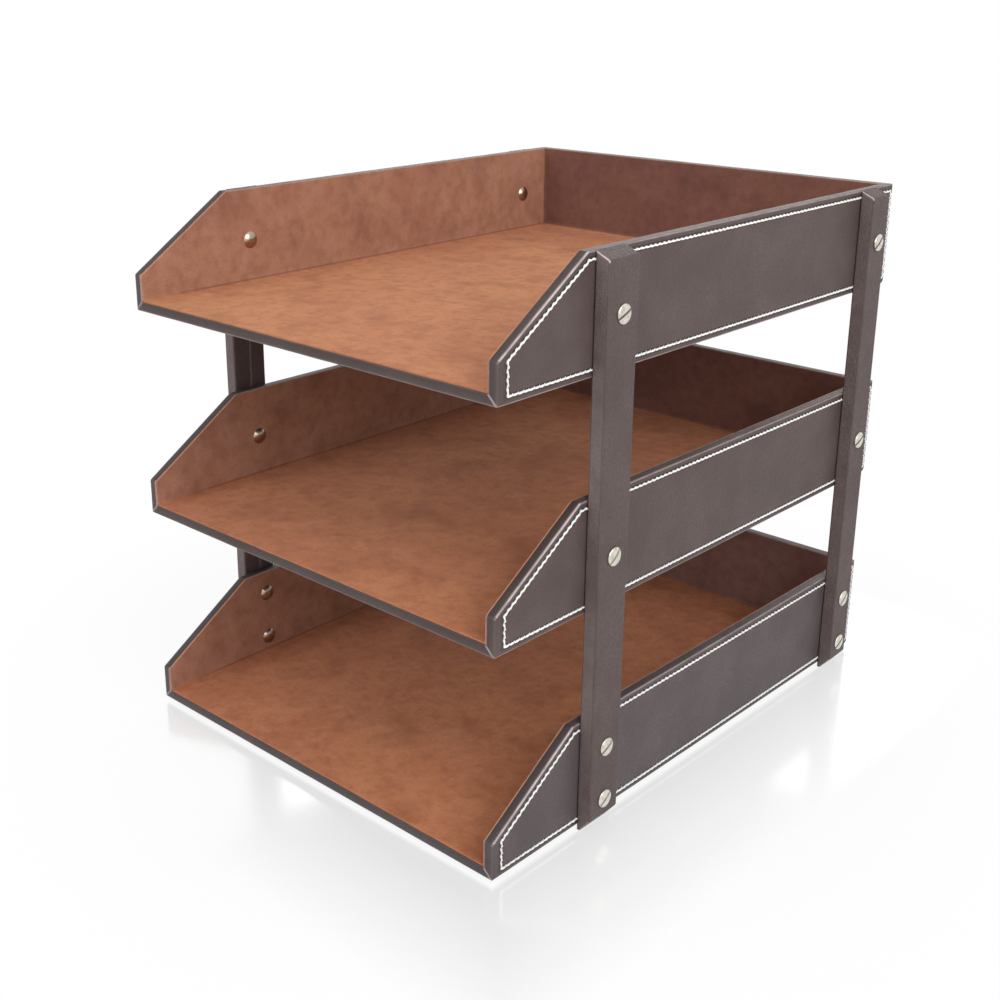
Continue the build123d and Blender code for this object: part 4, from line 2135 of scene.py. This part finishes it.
@dataclass
class Studio:
    """A pale floor, soft light and the camera at the photograph's viewing angle, in metres."""

    azimuth: float = 43.401
    elevation: float = 18.863
    camera_place: tuple[float, float, float] = (0.487413, -0.574376, 0.401307)
    focal_pixels: float = 1387.878
    axis_pixel: Point2 = (452.19, 446.74)
    picture_pixels: float = 1000.0
    sensor: float = 36.0
    aim: tuple[float, float, float] = (0.0, 0.0, 0.15)
    white: Colour = (1.0, 1.0, 1.0, 1.0)
    ambient: float = 0.5
    floor_reach: float = 6.0
    floor_colour: Colour = (0.92, 0.92, 0.92, 1.0)
    floor_roughness: float = 0.6
    floor_specular: float = 0.2
    near_glow: float = 0.88
    fade_from: float = 0.2
    fade_to: float = 0.36
    footprint: Point2 = (0.1275, 0.167)
    mirror: float = 0.24
    mirror_roughness: float = 0.16
    mirror_rise: float = 0.003
    mirror_fade: float = 0.08
    lights: tuple[Softbox, ...] = (
        Softbox("key_light", (1.6, -0.52, 1.22), 1.3, 22.0),
        Softbox("front_light", (-0.2, -1.77, 1.05), 1.3, 13.0),
        Softbox("rear_light", (-1.0, 1.45, 1.09), 1.3, 9.0),
    )

    def build(self) -> None:
        """Sets up the world, the lights, the floor and the camera."""
        bpy.context.scene.view_settings.view_transform = "Standard"
        self._world()
        for light in self.lights:
            self._light(light)
        self._floor()
        self._camera()

    @staticmethod
    def _seen(bench: Bench) -> NodeSocket:
        """One where a ray comes from the camera, a mirror or glass, and otherwise none.

        Args:
            bench: The bench of the tree that asks.

        Returns:
            The share.
        """
        path = bench.node("ShaderNodeLightPath").outputs
        seen = bench.math("ADD", path["Is Camera Ray"], path["Is Glossy Ray"])
        return bench.math("ADD", seen, path["Is Transmission Ray"], clamp=True)

    def _world(self) -> None:
        """White where it is seen, and a plain soft level where it lights the object."""
        world = bpy.data.worlds.new("studio")
        bpy.context.scene.world = world
        world.use_nodes = True
        bench = Bench(world.node_tree)
        strength = bench.remap(self._seen(bench), 0.0, 1.0, self.ambient, 1.0)
        bench.feed(world.node_tree.nodes["Background"], {"Strength": strength, "Color": self.white})

    def _light(self, light: Softbox) -> None:
        """One soft light, aimed at the object.

        Args:
            light: The light.
        """
        data = bpy.data.lights.new(light.name, "AREA")
        data.energy, data.size = light.power, light.size
        lamp = linked(light.name, data)
        lamp.location = light.place
        lamp.rotation_euler = (Vector(self.aim) - Vector(light.place)).to_track_quat("-Z", "Y").to_euler()

    def _floor(self) -> None:
        """A white desk top, which keeps the object's shadow."""
        reach = self.floor_reach
        mesh = bpy.data.meshes.new("desk_top")
        corners = [(-reach, -reach, 0), (reach, -reach, 0), (reach, reach, 0), (-reach, reach, 0)]
        mesh.from_pydata(corners, [], [(0, 1, 2, 3)])
        mesh.materials.append(self._floor_material())
        linked("desk_top", mesh)

    def _floor_material(self) -> Material:
        """Matt white paint, glowing white where it is seen, under a thin polish.

        Returns:
            The material.
        """
        material = bpy.data.materials.new("white_desk_top")
        material.use_nodes = True
        bench, nodes = Bench(material.node_tree), material.node_tree.nodes
        paint = nodes["Principled BSDF"]
        bench.feed(paint, {"Base Color": self.floor_colour, "Roughness": self.floor_roughness,
                           "Specular IOR Level": self.floor_specular})
        glow = bench.node("ShaderNodeEmission", {"Color": self.white, "Strength": 1.0})
        away = bench.node("ShaderNodeVectorMath", {0: bench.place()}, operation="LENGTH").outputs["Value"]
        glow_share = bench.remap(away, self.fade_from, self.fade_to, self.near_glow, 1.0)
        share = bench.math("MULTIPLY", self._seen(bench), glow_share)
        lit = bench.node("ShaderNodeMixShader", {0: share, 1: paint.outputs[0], 2: glow.outputs[0]})
        gloss = {"Base Color": self.white, "Metallic": 1.0, "Roughness": self.mirror_roughness}
        polish = bench.node("ShaderNodeBsdfPrincipled", gloss)
        layers = {0: self._mirror_share(bench), 1: lit.outputs[0], 2: polish.outputs[0]}
        polished = bench.node("ShaderNodeMixShader", layers)
        bench.feed(nodes["Material Output"], {"Surface": polished.outputs[0]})
        return material

    def _mirror_share(self, bench: Bench) -> NodeSocket:
        """How much the desk top mirrors: most just outside the object's footprint, and less farther off.

        Args:
            bench: The floor's bench.

        Returns:
            The share.
        """
        place = bench.node("ShaderNodeSeparateXYZ", {0: bench.place()}).outputs
        beside = bench.math("SUBTRACT", bench.math("ABSOLUTE", place["X"]), self.footprint[0])
        before = bench.math("SUBTRACT", bench.math("ABSOLUTE", place["Y"]), self.footprint[1])
        away = bench.math("MAXIMUM", beside, before)
        rise = bench.remap(away, 0.0, self.mirror_rise)
        fade = bench.remap(away, 0.0, self.mirror_fade, self.mirror, 0.0)
        return bench.math("MULTIPLY", bench.math("MULTIPLY", rise, fade), self._seen(bench))

    def _camera(self) -> None:
        """The camera, where the photograph was taken from."""
        data = bpy.data.cameras.new("camera")
        data.sensor_fit, data.sensor_width, data.sensor_height = "AUTO", self.sensor, self.sensor
        data.lens = self.focal_pixels * self.sensor / self.picture_pixels
        data.shift_x = 0.5 - self.axis_pixel[0] / self.picture_pixels
        data.shift_y = self.axis_pixel[1] / self.picture_pixels - 0.5
        turn, rise = math.radians(self.azimuth), math.radians(self.elevation)
        back = Vector((math.sin(turn) * math.cos(rise), -math.cos(turn) * math.cos(rise), math.sin(rise)))
        camera = linked("camera", data)
        camera.location = self.camera_place
        camera.rotation_mode = "QUATERNION"
        camera.rotation_quaternion = (-back).to_track_quat("-Z", "Y")
        bpy.context.scene.camera = camera


def main() -> None:
    """Builds the sub-assemblies in order and reports each piece."""
    logging.basicConfig(level=logging.INFO, format="%(name)s: %(message)s")
    wardrobe = Wardrobe.filled()
    tray_sizes, post_sizes = TraySizes(), PostSizes()
    stitcher = Stitcher(pitch=tray_sizes.stitch_pitch)
    for tier in Tier:
        Tray(tier, tray_sizes).build(wardrobe, stitcher)
    posts = [Post(row, side, post_sizes) for side in Side for row in PostRow]
    for post in posts:
        post.build(wardrobe.post_leather)
    Hardware(post_sizes).build(posts, wardrobe)
    dress_inner_boards(wardrobe.board)
    Studio().build()


if __name__ == "__main__":
    main()
